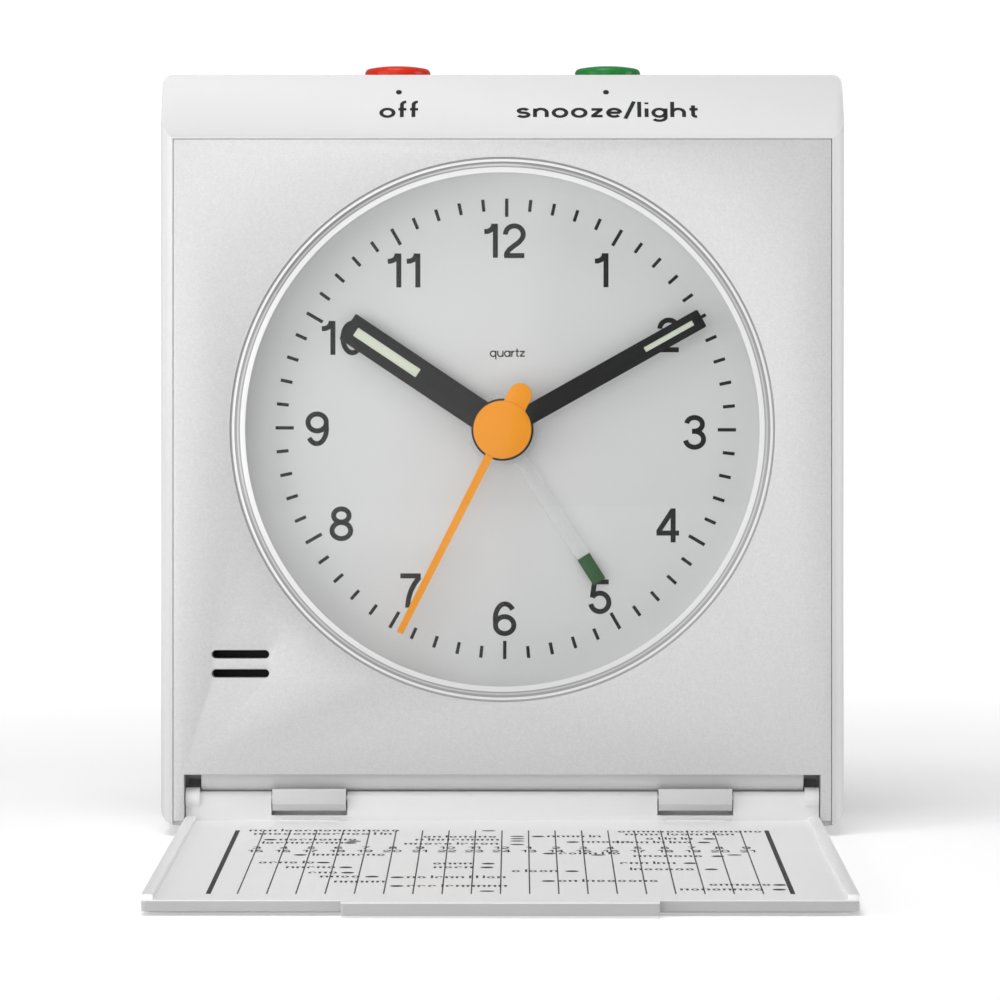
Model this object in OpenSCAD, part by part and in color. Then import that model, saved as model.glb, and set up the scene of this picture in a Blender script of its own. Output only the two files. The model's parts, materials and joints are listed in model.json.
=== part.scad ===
// Quartz travel alarm clock with a hinged lid that folds down and becomes its foot.
// The clock is drawn upright in its own frame: X to the right, Y backwards from the face
// plane, Z up from the bottom. Placing modules then lean it back on its lid.

/* [Case] */
// Width of the case
case_w = 68; // [62:0.5:78]
// Height of the case
case_h = 75; // [72:0.5:86]
// Depth of the case behind the face plane
case_d = 21; // [20:0.5:26]
// Thickness of the moulded walls
wall = 1.4; // [1:0.1:1.8]
// Depth at which the front and rear shells meet
split_y = 14; // [13.5:0.25:15]
// Radius of the upper corners seen from the front
top_corner_r = 1; // [0.5:0.1:2]
// Radius of the lower corners seen from the front
bottom_corner_r = 1.8; // [1:0.1:3]
// Radius of the edges round the rear face
rear_edge_r = 1.2; // [0.8:0.1:2]
// Width of the rounded strip down each side of the face
strip_w = 1.15; // [0.8:0.05:1.6]
// Depth of that strip where it meets the side
strip_d = 1.73; // [1.2:0.01:2.2]
// Height of the sloping strip over the face
bevel_h = 6.6; // [5:0.1:8]
// Depth of the sloping strip at the top
bevel_d = 5; // [4:0.1:6]

/* [Face] */
// Thickness of the face panel
panel_t = 0.8; // [0.6:0.1:1.2]
// Radius of the window in the face panel
window_r = 27.05; // [24:0.05:28]
// Height of the dial centre above the bottom
dial_z = 39.4; // [38.5:0.1:42]
// How far the crystal stands out of the face
crystal_proud = 0.3; // [0.2:0.05:0.6]
// Width of the bevelled ring round the crystal
crystal_bevel = 0.95; // [0.5:0.05:1.4]
// Length of each sound slot
slot_len = 5.7; // [4:0.1:8]
// Height of each sound slot
slot_h = 0.82; // [0.5:0.02:1]
// Distance between the sound slots
slot_pitch = 1.9; // [1.5:0.1:2.5]

/* [Hands] */
// How far the tip of the hour hand stops inside the window
hour_short = 8.45; // [8:0.05:14]
// How far the tip of the minute hand stops inside the window
minute_short = 4.25; // [3:0.05:9]
// How far the tip of the second hand stops inside the window
second_short = 4.05; // [3:0.05:9]
// How far the tip of the alarm hand stops inside the window
alarm_short = 9.05; // [7:0.05:15]
// Angle of the hour hand, clockwise from twelve
hour_angle = 303.8; // [0:0.1:360]
// Angle of the minute hand, clockwise from twelve
minute_angle = 60.7; // [0:0.1:360]
// Angle of the second hand, clockwise from twelve
second_angle = 206.8; // [0:0.1:360]
// Angle of the alarm hand, clockwise from twelve
alarm_angle = 147.4; // [0:0.1:360]

/* [Lid] */
// Thickness of the lid plate
lid_t = 1.4; // [1.2:0.1:1.8]
// Gap between the closed lid plate and the face
lid_gap = 0.45; // [0.4:0.05:1]
// Width of the two side rims inside the lid
rim_w = 1.03; // [0.8:0.01:1.5]
// Width of the finger tab
tab_w = 27.9; // [20:0.1:36]
// How far the finger tab reaches past the face
tab_reach = 1.8; // [1:0.1:2.4]
// Radius of the rolled edge that holds the hinge pins
roll_r = 0.65; // [0.6:0.01:0.7]
// Radius of the hinge pins
pin_r = 0.35; // [0.3:0.01:0.4]
// Length of each hinge pin
pin_len = 12; // [10:0.5:14]
// Width of the hinge lugs on the case
lug_w = 7.3; // [6:0.1:9]
// Distance of each lug from the middle
lug_x = 19.2; // [14:0.1:22]

/* [Controls] */
// Radius of the two push buttons
button_r = 3.3; // [2.5:0.1:3.6]
// Distance of each button from the middle
button_x = 10.6; // [8:0.1:14]
// Height of the buttons above the top
button_proud = 1.2; // [1:0.1:1.5]
// Travel of the buttons
button_travel = 0.8; // [0.5:0.1:0.9]
// Radius of the setting knobs
knob_r = 5; // [4:0.1:6]
// Distance of each setting knob from the middle
knob_x = 12; // [12:0.1:13]

/* [Battery] */
// Radius of the cell
cell_r = 5.25; // [5.1:0.05:5.3]
// Length of the cell
cell_len = 44.5; // [43:0.1:45]

/* [Hidden] */
// Hands, from the axis to the tip
hour_len = window_r - hour_short;
minute_len = window_r - minute_short;
second_len = window_r - second_short;
alarm_len = window_r - alarm_short;

$fn = 64;

run_gap = 0.03;     // clearance of a shaft in its bore, on the radius
slip_gap = 0.1;     // clearance of a part that slides or drops into another
eps = 0.01;         // overlap that keeps cuts clean
far = 200;          // longer than anything in the clock

half_w = case_w / 2;
face_top = case_h - bevel_h;
panel_half = half_w - strip_w;
rim_land = 0.12;    // flat rim of the case round the face panel
pocket_half = panel_half - rim_land;
pocket_high = face_top - rim_land;
edge_r = (strip_w * strip_w + strip_d * strip_d) / (2 * strip_w);

// Front to back positions in the dial stack
front_wall = 1.6;                     // wall that carries the face panel
wall_back = panel_t + front_wall;     // its rear face
crystal_t = 1.2;
crystal_back = crystal_t - crystal_proud;
crystal_r = window_r - 0.45;
flange_r = window_r + 1.25;
flange_t = 0.7;
ring_in = crystal_r - 0.8;
ring_back = 4.2;
dial_t = 0.4;
dial_front = ring_back + 0.05;
hand_t = 0.3;
second_y = crystal_back + 0.45;
minute_y = second_y + 0.65;
hour_y = minute_y + 0.7;
alarm_y = hour_y + 0.7;

// Movement plates and gear layers, measured back from the face plane
cover_y = dial_front + dial_t + 0.35;
cover_t = 0.8;
alarm_layer = cover_y + cover_t + 0.3;
hour_layer = alarm_layer + 0.9;
minute_layer = hour_layer + 1;
plate_y = minute_layer + 1;
plate_t = 1;
centre_layer = plate_y + plate_t + 0.3;
third_layer = centre_layer + 1.2;
second_layer = third_layer + 1;
step_layer = second_layer + 1;
bridge_y = step_layer + 1.1;
bridge_t = 1;
wheel_t = 0.5;
face_wheel_t = 0.6;

// Nested shafts at the dial centre
arbor_r = 0.4;
pipe_wall = 0.45;
centre_pipe_in = arbor_r + 0.05;
centre_pipe_r = centre_pipe_in + pipe_wall;
hour_pipe_in = centre_pipe_r + 0.05;
hour_pipe_r = hour_pipe_in + 0.55;
alarm_pipe_in = hour_pipe_r + 0.05;
alarm_pipe_r = alarm_pipe_in + 0.55;

// Tooth counts of the going train, the motion work and the alarm drive
rotor_n = 8;
step_n = 48;
step_pinion_n = 10;
second_n = 50;
second_pinion_n = 8;
third_n = 60;
third_pinion_n = 8;
centre_n = 64;
cannon_n = 12;
minute_n = 36;
minute_pinion_n = 10;
hour_n = 40;
set_pinion_n = 12;
alarm_n = 66;
alarm_pinion_n = 14;

rotor_m = 0.25;
step_m = 0.31;
third_m = 0.26;
cannon_m = knob_x / (minute_n + (cannon_n + set_pinion_n) / 2);
third_dist = third_m * (second_pinion_n + third_n) / 2;
centre_m = 2 * third_dist / (third_pinion_n + centre_n);
step_dist = step_m * (step_pinion_n + second_n) / 2;
rotor_dist = rotor_m * (rotor_n + step_n) / 2;
minute_dist = cannon_m * (cannon_n + minute_n) / 2;
hour_m = 2 * minute_dist / (minute_pinion_n + hour_n);
alarm_m = 2 * knob_x / (alarm_n + alarm_pinion_n);

// Shaft positions seen from the front, from the dial centre
third_at = [0, third_dist];
step_at = [0, -step_dist];
rotor_dir = 210;
rotor_at = step_at + rotor_dist * [cos(rotor_dir), sin(rotor_dir)];
minute_at = [-minute_dist, 0];
time_at = [-knob_x, 0];
alarm_at = [knob_x, 0];

// Movement outline, seen from the front, from the dial centre
move_half = 19;
move_top = 18.6;
move_bottom = -20.2;
pillar_x = 17;
pillar_top = 16.4;
pillar_bottom = -13.6;
pillar_r = 1.5;
coil_z = -18;
coil_y = third_layer + 0.4;
stator_t = 0.6;
ear_x = half_w - 4;
ear_z = 5.6;

// Hinge
hinge_y = 1.75;
hinge_z = 2.73;
recess_half = half_w - 2.4;
recess_top = 5.1;
recess_wall = hinge_y + roll_r + 0.25;
bar_r = 2;
bar_y = recess_wall + 0.4;
bar_z = recess_top + 0.1;
pocket_w = 1.65;
pocket_d = 4.4;
pocket_top = 4.95;
bar_half = recess_half - pocket_w;
lid_half = recess_half - slip_gap;
cam_r = 1.05;
lug_front = 0.3;
lug_top = hinge_z + 0.95;
lug_low = hinge_z - 1.25;
notch_w = lug_w + 0.25;

// Lid in its closed place
lid_in = -lid_gap;
lid_out = -lid_gap - lid_t;
lid_low = hinge_z - roll_r;
lid_top = face_top - 0.06;
lip_end = 0.05;
lid_bevel_w = 1.6;
lid_bevel_t = 0.4;

// Fasteners and posts
post_r = 2;
post_x = half_w - 4.7;
post_low = 25;
post_high = case_h - 5.5;
screw_r = 0.8;
screw_head_r = 1.6;
screw_head_t = 1.1;
small_screw_r = 0.6;
small_head_r = 1.2;

// Battery bay in the rear case
cell_y = case_d - 7.1;
cell_z = 12.6;
bay_wall = 0.8;
bay_half = 25.8;
bay_h = 11;
bay_front = cell_y - cell_r - 0.15;
rear_wall = 1.6;
rear_in = case_d - rear_wall;
door_t = 1;
door_lip = 1.5;

// Knob dishes in the rear face
dish_r = knob_r + 0.9;
dish_d = 1;
knob_t = 1.6;
knob_y = case_d - dish_d + 0.2;

// Buttons
button_y = 9.8;
cap_edge = 0.5;
cap_crown = 0.25;
flange_top = case_h - wall - 0.1;
button_stem_r = 1;
switch_top = case_h - 5.15;
stem_low = switch_top + 0.05 + button_travel;
board_y = 11.4;
board_t = 0.8;
board_low = dial_z + move_top + 1.6;
board_high = switch_top - 1.4;
board_half = 24;

// Lean of the clock: the lid plate lies flat under the hinge, and the rear edge rests behind
foot_r = rear_edge_r;
hinge_up = hinge_y + lid_gap + lid_t;
lean_p = hinge_z - foot_r;
lean_q = case_d - foot_r - hinge_y;
lean = asin((hinge_up - foot_r) / norm([lean_p, lean_q])) - atan2(lean_p, lean_q);
reach_front = lid_top + tab_reach - hinge_z;
reach_back = lean_q * cos(lean) + (case_h - foot_r - hinge_z) * sin(lean) + foot_r;
hinge_world_y = (reach_front - reach_back) / 2;

// ---- placing ----

// Stands the upright clock on its foot, leaning back
module leaned() {
    translate([0, hinge_world_y, hinge_up]) rotate([-lean, 0, 0])
        translate([0, -hinge_y, -hinge_z]) children();
}

// Turns the closed lid down until its plate lies flat
module opened() {
    translate([0, hinge_world_y, hinge_up]) rotate([90, 0, 0])
        translate([0, -hinge_y, -hinge_z]) children();
}

// A flat piece from depth y0 to y1, its outline drawn as seen from the front
module slab(y0, y1) {
    translate([0, y1, 0]) rotate([90, 0, 0]) linear_extrude(height = y1 - y0) children();
}

// A long piece along X, its outline drawn from the right, in depth and height
module rail(x0, x1) {
    translate([x0, 0, 0]) rotate([90, 0, 90]) linear_extrude(height = x1 - x0) children();
}

// The children, moved to a place seen from the dial centre
module from_centre(at = [0, 0]) {
    translate([at[0], 0, dial_z + at[1]]) children();
}

// A round bar along Y
module bar(r, y0, y1) {
    slab(y0, y1) circle(r);
}

// A round bar along X, at depth y and height z
module pin_x(r, x0, x1, y, z) {
    translate([x0, y, z]) rotate([0, 90, 0]) cylinder(r = r, h = x1 - x0);
}

// A turned piece on a Y axis, from points of radius and depth
module turned(points) {
    rotate([90, 0, 0]) rotate_extrude() polygon([for (p = points) [p[0], -p[1]]]);
}

// A square with its four corners rounded, lower radius first
module round_box(x0, x1, z0, z1, low_r, high_r) {
    difference() {
        translate([x0, z0]) square([x1 - x0, z1 - z0]);
        for (c = [[x0, z0, 1, 1, low_r], [x1, z0, -1, 1, low_r],
                  [x0, z1, 1, -1, high_r], [x1, z1, -1, -1, high_r]])
            translate([c[0], c[1]]) scale([c[2], c[3]]) corner_cut(c[4]);
    }
}

// What a rounded corner takes away
module corner_cut(r) {
    difference() {
        translate([-eps, -eps]) square(r + eps);
        translate([r, r]) circle(r);
    }
}

// Points of a gear outline with n teeth of module m and a tooth centred at phase
function gear_points(n, m, phase) = [
    for (i = [0:n - 1]) for (k = [[-1.15, -0.3], [0, -0.205], [0.85, -0.09],
                                  [0.85, 0.09], [0, 0.205], [-1.15, 0.3]])
        (n * m / 2 + k[0] * m) * [cos(phase + (i + k[1]) * 360 / n),
                                  sin(phase + (i + k[1]) * 360 / n)]
];

// A gear with a tooth facing dir, and one with a gap facing dir
module toothed(n, m, dir, y, t) {
    slab(y, y + t) polygon(gear_points(n, m, dir));
}

module gapped(n, m, dir, y, t) {
    slab(y, y + t) polygon(gear_points(n, m, dir + 180 / n));
}

// Lightening windows between the hub and the rim of a wheel
module spoke_windows(hub, rim, y, t, count = 4) {
    for (i = [0:count - 1]) rotate([0, i * 360 / count, 0])
        slab(y - eps, y + t + eps) difference() {
            intersection() {
                circle(rim);
                translate([0.5, 0.5]) square(rim);
            }
            circle(hub);
        }
}

// ---- case ----

// Outline of the case seen from the front
module case_outline(inset = 0) {
    round_box(-half_w + inset, half_w - inset, inset, case_h - inset,
              max(bottom_corner_r - inset, 0.4), max(top_corner_r - inset, 0.4));
}

// What the rounded side strips take away, down both sides
module side_cuts() {
    for (s = [-1, 1]) scale([s, 1, 1]) difference() {
        translate([panel_half, -eps, -eps]) cube([strip_w + eps, strip_d + eps, case_h + 2 * eps]);
        translate([half_w - edge_r, strip_d, -1]) cylinder(r = edge_r, h = case_h + 2);
    }
}

// What lies above the sloping strip
module bevel_cut() {
    rail(-far, far) polygon([[-1, face_top - bevel_h / bevel_d], [bevel_d + 1, case_h + bevel_h / bevel_d],
                             [-1, case_h + bevel_h / bevel_d]]);
}

// Hollow inside of both shells
module hollow() {
    slope = bevel_h / bevel_d;
    rise = wall * sqrt(1 + slope * slope) + 0.1;
    intersection() {
        slab(0, case_d) case_outline(wall);
        rail(-far, far) polygon([
            [wall_back, recess_top + 2.6], [recess_wall + 2.8, recess_top + 2.6],
            [recess_wall + 2.8, wall], [rear_in, wall], [rear_in, case_h - wall],
            [(case_h - wall - face_top + rise) / slope, case_h - wall],
            [wall_back, face_top + wall_back * slope - rise]]);
    }
}

// Where the closed lid's rolled edge lives, with the two end pockets
module hinge_recess() {
    rail(-recess_half, recess_half) translate([-1, -1]) square([recess_wall + 1, recess_top + 1]);
    for (s = [-1, 1]) scale([s, 1, 1])
        rail(bar_half, recess_half) translate([-1, -1]) square([pocket_d + 1, pocket_top + 1]);
}

// A hinge lug: rounded block with a flat front, held by the case
module hinge_lug(x) {
    rail(x - lug_w / 2, x + lug_w / 2) polygon([
        [lug_front + 0.15, lug_top], [lug_front, lug_top - 0.15], [lug_front, lug_top - 1.5],
        [lug_front + 0.15, lug_top - 1.65], [lug_front + 0.6, lug_low + 0.1],
        [lug_front + 0.8, lug_low], [recess_wall + 0.2, lug_low], [recess_wall + 0.2, lug_top]]);
}

module sound_slots(grow = 0) {
    for (i = [0, 1]) translate([-26, 15.17 + i * slot_pitch]) {
        square([slot_len - slot_h, slot_h + 2 * grow], center = true);
        for (s = [-1, 1]) translate([s * (slot_len - slot_h) / 2, 0]) circle(slot_h / 2 + grow);
    }
}

module button_holes() {
    for (s = [-1, 1]) translate([s * button_x, button_y, case_h - wall - 1])
        cylinder(r = button_r + slip_gap, h = wall + 2);
}

module case_posts() {
    for (s = [-1, 1]) for (z = [post_low, post_high])
        translate([s * post_x, 0, z]) bar(post_r, wall_back - eps, split_y);
    for (s = [-1, 1]) from_centre([s * ear_x, ear_z]) bar(1.5, wall_back - eps, plate_y);
}

module front_case() {
    color("whitesmoke") difference() {
        union() {
            difference() {
                slab(panel_t, split_y) case_outline();
                hollow();
                hinge_recess();
            }
            // Rim that frames the face panel
            difference() {
                slab(0, panel_t + eps) case_outline();
                slab(-1, panel_t + 1) translate([-pocket_half, -1]) square([2 * pocket_half, pocket_high + 1]);
                hinge_recess();
            }
            intersection() {
                pin_x(bar_r, -bar_half, bar_half, bar_y, bar_z);
                translate([-far, panel_t, 0]) cube([2 * far, far, far]);
            }
            for (s = [-1, 1]) hinge_lug(s * lug_x);
            case_posts();
        }
        side_cuts();
        bevel_cut();
        button_holes();
        from_centre() {
            bar(window_r - 0.1, 0, wall_back + 1);
            bar(flange_r + slip_gap, 0, panel_t + flange_t + 0.1);
        }
        slab(0, wall_back + 1) sound_slots();
        for (s = [-1, 1]) pin_x(pin_r, s * lug_x - lug_w, s * lug_x + lug_w, hinge_y, hinge_z);
        for (s = [-1, 1]) for (z = [post_low, post_high])
            translate([s * post_x, 0, z]) bar(screw_r, split_y - 7, split_y + 1);
        for (s = [-1, 1]) from_centre([s * ear_x, ear_z]) bar(small_screw_r, plate_y - 3, plate_y + 1);
    }
}

module face_panel() {
    color("gainsboro") slab(0, panel_t) difference() {
        translate([-pocket_half + 0.04, 0.5]) square([2 * pocket_half - 0.08, pocket_high - 0.54]);
        translate([-recess_half, -1]) square([2 * recess_half, recess_top + 1]);
        translate([0, dial_z]) circle(window_r);
        sound_slots();
    }
}

module rear_case() {
    color("whitesmoke") difference() {
        union() {
            difference() {
                rear_block();
                hollow();
            }
            // Battery bay walls
            translate([-bay_half - bay_wall, bay_front - bay_wall, cell_z - bay_h / 2 - bay_wall])
                cube([2 * (bay_half + bay_wall), rear_in - bay_front + bay_wall + eps, bay_h + 2 * bay_wall]);
            for (s = [-1, 1]) for (z = [post_low, post_high])
                translate([s * post_x, 0, z]) bar(post_r, split_y, rear_in + eps);
            for (at = [time_at, alarm_at]) from_centre(at) bar(dish_r + 1, case_d - dish_d - 1, rear_in + eps);
        }
        translate([-bay_half, bay_front, cell_z - bay_h / 2]) cube([2 * bay_half, far, bay_h]);
        translate([-bay_half - door_lip, case_d - door_t, cell_z - bay_h / 2 - door_lip])
            cube([2 * (bay_half + door_lip), far, bay_h + 2 * door_lip]);
        for (s = [-1, 1]) for (z = [post_low, post_high]) translate([s * post_x, 0, z]) {
            bar(screw_r + slip_gap, split_y - 1, case_d + 1);
            bar(screw_head_r + 0.2, case_d - screw_head_t - 0.3, case_d + 1);
        }
        for (at = [time_at, alarm_at]) from_centre(at) {
            bar(dish_r, case_d - dish_d, case_d + 1);
            bar(shaft_r + run_gap, rear_in - 3, case_d);
        }
    }
}

// Outside of the rear shell: all rear edges rounded
module rear_block() {
    difference() {
        slab(split_y, case_d) case_outline();
        for (s = [-1, 1]) scale([s, 1, 1]) difference() {
            translate([half_w - rear_edge_r, case_d - rear_edge_r, -1])
                cube([rear_edge_r + 1, rear_edge_r + 1, case_h + 2]);
            translate([half_w - rear_edge_r, case_d - rear_edge_r, -2])
                cylinder(r = rear_edge_r, h = case_h + 4);
        }
        for (z = [0, case_h]) difference() {
            translate([-far, case_d - rear_edge_r, z == 0 ? -1 : case_h - rear_edge_r])
                cube([2 * far, rear_edge_r + 1, rear_edge_r + 1]);
            pin_x(rear_edge_r, -half_w - 1, half_w + 1, case_d - rear_edge_r,
                  z == 0 ? rear_edge_r : case_h - rear_edge_r);
        }
    }
}

module case_screws() {
    color("silver") for (s = [-1, 1]) for (z = [post_low, post_high]) translate([s * post_x, 0, z])
        difference() {
            union() {
                bar(screw_r, split_y - 6, case_d - screw_head_t - 0.3 + eps);
                bar(screw_head_r, case_d - screw_head_t - 0.3, case_d - 0.3);
            }
            cross_slot(screw_head_r, case_d - 0.9);
        }
}

// Cross recess in a screw head, open towards the back
module cross_slot(r, y) {
    slab(y, y + 2) {
        square([1.3 * r, 0.3 * r], center = true);
        square([0.3 * r, 1.3 * r], center = true);
    }
}

// ---- face and crystal ----

module crystal() {
    color("white", 0.3) from_centre() turned([
        [0, -crystal_proud], [crystal_r - crystal_bevel, -crystal_proud],
        [crystal_r, -crystal_proud + 0.45], [crystal_r, panel_t + 0.05], [flange_r, panel_t + 0.05],
        [flange_r, panel_t + flange_t], [ring_in + 0.1, panel_t + flange_t],
        [ring_in + 0.1, crystal_back], [0, crystal_back]]);
}

light_from = 115;
light_to = 151;

// Sector of the ring that the light guide fills
module light_sector(r0, r1) {
    difference() {
        circle(r1);
        circle(r0);
        rotate(90 - light_from) translate([-far, 0]) square([2 * far, far]);
        rotate(90 - light_to) translate([-far, -far]) square([2 * far, far]);
    }
}

module dial_ring() {
    color("whitesmoke") from_centre() difference() {
        union() {
            bar(window_r - 0.25, panel_t + flange_t + 0.1, ring_back);
            bar(flange_r + 0.2, wall_back + 0.05, ring_back);
        }
        bar(ring_in, 0, far);
        slab(wall_back + 0.3, ring_back + 1) light_sector(ring_in - 0.1, ring_in + 1.4);
    }
}

module light_guide() {
    color("lightcyan", 0.5) from_centre() slab(wall_back + 0.35, ring_back - 0.05)
        intersection() {
            light_sector(ring_in + 0.05, ring_in + 1.3);
            rotate(90 - light_from) translate([-far, -far]) square([2 * far, far - 0.1]);
            rotate(90 - light_to) translate([-far, 0.1]) square([2 * far, far]);
        }
}

module light_lamp() {
    lamp_dir = 90 - (light_from + light_to) / 2;
    color("ivory") from_centre() rotate([0, -lamp_dir, 0])
        translate([flange_r + 0.4, wall_back + 0.3, -0.8]) cube([1.2, 1.4, 1.6]);
}

module dial() {
    color("lightgray") from_centre() difference() {
        bar(flange_r, dial_front, dial_front + dial_t);
        bar(alarm_pipe_r + 0.4, 0, far);
    }
}

module sound_gauze() {
    color([0.1, 0.1, 0.1]) slab(wall_back + 0.05, wall_back + 0.3)
        translate([-26, 15.17 + slot_pitch / 2]) circle(4.6);
}

module buzzer() {
    color("goldenrod") translate([-26, 0, 15.17 + slot_pitch / 2]) difference() {
        bar(5, wall_back + 0.5, wall_back + 2.3);
        bar(4.2, wall_back + 0.4, wall_back + 1.2);
    }
}

// ---- hands and their wheels ----

// A straight hand outline pointing up, with a round hub
module hand_outline(len, width, hub, corner = 0.2) {
    circle(hub);
    round_box(-width / 2, width / 2, 0, len, 0.01, corner);
}

hour_w = 3;
minute_w = 1.95;
hour_lume_w = 0.95;
minute_lume_w = 0.52;

// Window for the luminous filling near the tip of a hand
module lume_outline(len, width, tip, length) {
    translate([-width / 2, len - tip - length]) square([width, length]);
}

module hour_hand() {
    color([0.05, 0.05, 0.05]) from_centre() rotate([0, hour_angle, 0]) slab(hour_y, hour_y + hand_t)
        difference() {
            hand_outline(hour_len, hour_w, 3);
            lume_outline(hour_len, hour_lume_w, 0.97, 7.5);
            circle(hour_pipe_r);
        }
}

module hour_lume() {
    color("honeydew") from_centre() rotate([0, hour_angle, 0]) slab(hour_y + 0.05, hour_y + hand_t - 0.05)
        lume_outline(hour_len, hour_lume_w, 0.97, 7.5);
}

module minute_hand() {
    color([0.05, 0.05, 0.05]) from_centre() rotate([0, minute_angle, 0]) slab(minute_y, minute_y + hand_t)
        difference() {
            hand_outline(minute_len, minute_w, 3.1);
            lume_outline(minute_len, minute_lume_w, 1.02, 5.5);
            circle(centre_pipe_r);
        }
}

module minute_lume() {
    color("honeydew") from_centre() rotate([0, minute_angle, 0])
        slab(minute_y + 0.05, minute_y + hand_t - 0.05)
            lume_outline(minute_len, minute_lume_w, 1.02, 5.5);
}

second_hub = 2.9;
tail_r = 1.18;
tail_dist = 3.87;

module second_hand() {
    color("orange") from_centre() rotate([0, second_angle, 0]) difference() {
        union() {
            turned([[0, second_y - 0.2], [second_hub - 0.15, second_y - 0.2], [second_hub, second_y - 0.05],
                    [second_hub, second_y + hand_t], [0, second_y + hand_t]]);
            slab(second_y, second_y + hand_t) {
                polygon([[-0.42, 0], [-0.34, second_len - 0.34], [0.34, second_len - 0.34], [0.42, 0]]);
                translate([0, second_len - 0.34]) circle(0.34);
                translate([-tail_r, -tail_dist]) square([2 * tail_r, tail_dist]);
                translate([0, -tail_dist]) circle(tail_r);
            }
        }
        bar(arbor_r, second_y + 0.05, far);
    }
}

module alarm_arm(from, to) {
    translate([-0.71, from]) square([1.42, to - from]);
}

tip_len = 3;

module alarm_hand() {
    color("white", 0.4) from_centre() rotate([0, alarm_angle, 0]) slab(alarm_y, alarm_y + hand_t)
        difference() {
            union() {
                circle(3.5);
                alarm_arm(0, alarm_len - tip_len);
            }
            circle(alarm_pipe_r);
        }
}

module alarm_tip() {
    color("green") from_centre() rotate([0, alarm_angle, 0]) slab(alarm_y - 0.02, alarm_y + hand_t)
        alarm_arm(alarm_len - tip_len, alarm_len);
}

// Arbor that carries the second wheel and its pinion
module second_wheel() {
    color("gold") from_centre() {
        bar(arbor_r, second_y + 0.05, bridge_y + 0.5);
        toothed(second_pinion_n, third_m, 90, third_layer - 0.1, 0.8);
        difference() {
            toothed(second_n, step_m, 270, second_layer, wheel_t);
            spoke_windows(2, second_n * step_m / 2 - 1.2, second_layer, wheel_t);
        }
    }
}

// Pipe with the cannon pinion: it carries the minute hand
module centre_pipe() {
    color("gold") from_centre() difference() {
        union() {
            bar(centre_pipe_r, minute_y, centre_layer + wheel_t + 0.2);
            toothed(cannon_n, cannon_m, 180, minute_layer, 0.7);
        }
        bar(centre_pipe_in, 0, far);
    }
}

module hour_wheel() {
    color("white") from_centre() difference() {
        union() {
            bar(hour_pipe_r, hour_y, hour_layer + face_wheel_t);
            toothed(hour_n, hour_m, 180, hour_layer, face_wheel_t);
        }
        bar(hour_pipe_in, 0, far);
    }
}

module alarm_wheel() {
    color("white") from_centre() difference() {
        union() {
            bar(alarm_pipe_r, alarm_y, alarm_layer + face_wheel_t);
            toothed(alarm_n, alarm_m, 0, alarm_layer, face_wheel_t);
        }
        bar(alarm_pipe_in, 0, far);
        spoke_windows(3.2, alarm_n * alarm_m / 2 - 1.6, alarm_layer, face_wheel_t);
    }
}

// ---- going train ----

module centre_wheel() {
    color("gold") from_centre() difference() {
        union() {
            toothed(centre_n, centre_m, 90, centre_layer, wheel_t);
            bar(1.6, centre_layer - 0.15, centre_layer + wheel_t + 0.1);
        }
        bar(centre_pipe_r + 0.02, 0, far);
        spoke_windows(2.2, centre_n * centre_m / 2 - 1.2, centre_layer, wheel_t);
    }
}

pivot_r = 0.35;

module third_wheel() {
    color("gold") from_centre(third_at) {
        bar(pivot_r, plate_y + 0.5, bridge_y + 0.5);
        gapped(third_pinion_n, centre_m, 270, centre_layer - 0.1, 0.8);
        difference() {
            gapped(third_n, third_m, 270, third_layer, wheel_t);
            spoke_windows(1.8, third_n * third_m / 2 - 1.2, third_layer, wheel_t);
        }
    }
}

module step_wheel() {
    color("white") from_centre(step_at) {
        bar(pivot_r, plate_y + 0.5, bridge_y + 0.5);
        gapped(step_pinion_n, step_m, 90, second_layer - 0.1, 0.8);
        difference() {
            toothed(step_n, rotor_m, rotor_dir, step_layer, wheel_t);
            spoke_windows(1.8, step_n * rotor_m / 2 - 1, step_layer, wheel_t);
        }
    }
}

magnet_r = 1.9;

module rotor() {
    color("dimgray") from_centre(rotor_at) {
        bar(pivot_r, plate_y + 0.5, bridge_y + 0.5);
        bar(magnet_r, coil_y - 0.9, coil_y + 0.9);
        gapped(rotor_n, rotor_m, rotor_dir + 180, step_layer - 0.1, 0.7);
    }
}

module minute_wheel() {
    color("white") from_centre(minute_at) difference() {
        union() {
            gapped(minute_n, cannon_m, 0, minute_layer, face_wheel_t);
            gapped(minute_pinion_n, hour_m, 0, hour_layer, minute_layer - hour_layer + eps);
        }
        bar(arbor_r + run_gap, 0, far);
    }
}

shaft_r = 0.9;

// Setting shaft with its pinion at the front and a flat-sided spigot for the knob
module time_shaft() {
    color("white") from_centre(time_at) {
        bar(shaft_r, minute_layer - 0.1, knob_y + 0.8);
        toothed(set_pinion_n, cannon_m, 0, minute_layer, 0.8);
    }
}

module alarm_shaft() {
    color("white") from_centre(alarm_at) {
        bar(shaft_r, alarm_layer - 0.15, knob_y + 0.8);
        gapped(alarm_pinion_n, alarm_m, 180, alarm_layer - 0.05, 0.75);
    }
}

grip_n = 24;

// A finger knob with a ribbed edge and a dished face
module knob() {
    difference() {
        slab(knob_y, knob_y + knob_t) polygon([for (i = [0:4 * grip_n - 1])
            (knob_r - (i % 4 < 2 ? 0 : 0.3)) * [cos(i * 90 / grip_n), sin(i * 90 / grip_n)]]);
        bar(knob_r - 1, knob_y + knob_t - 0.4, far);
        bar(shaft_r, 0, knob_y + 0.8);
    }
}

module time_knob() {
    color("whitesmoke") from_centre(time_at) knob();
}

module alarm_knob() {
    color("whitesmoke") from_centre(alarm_at) knob();
}

// ---- movement frame ----

module movement_outline() {
    round_box(-move_half, move_half, move_bottom, move_top, 2, 2);
}

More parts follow.
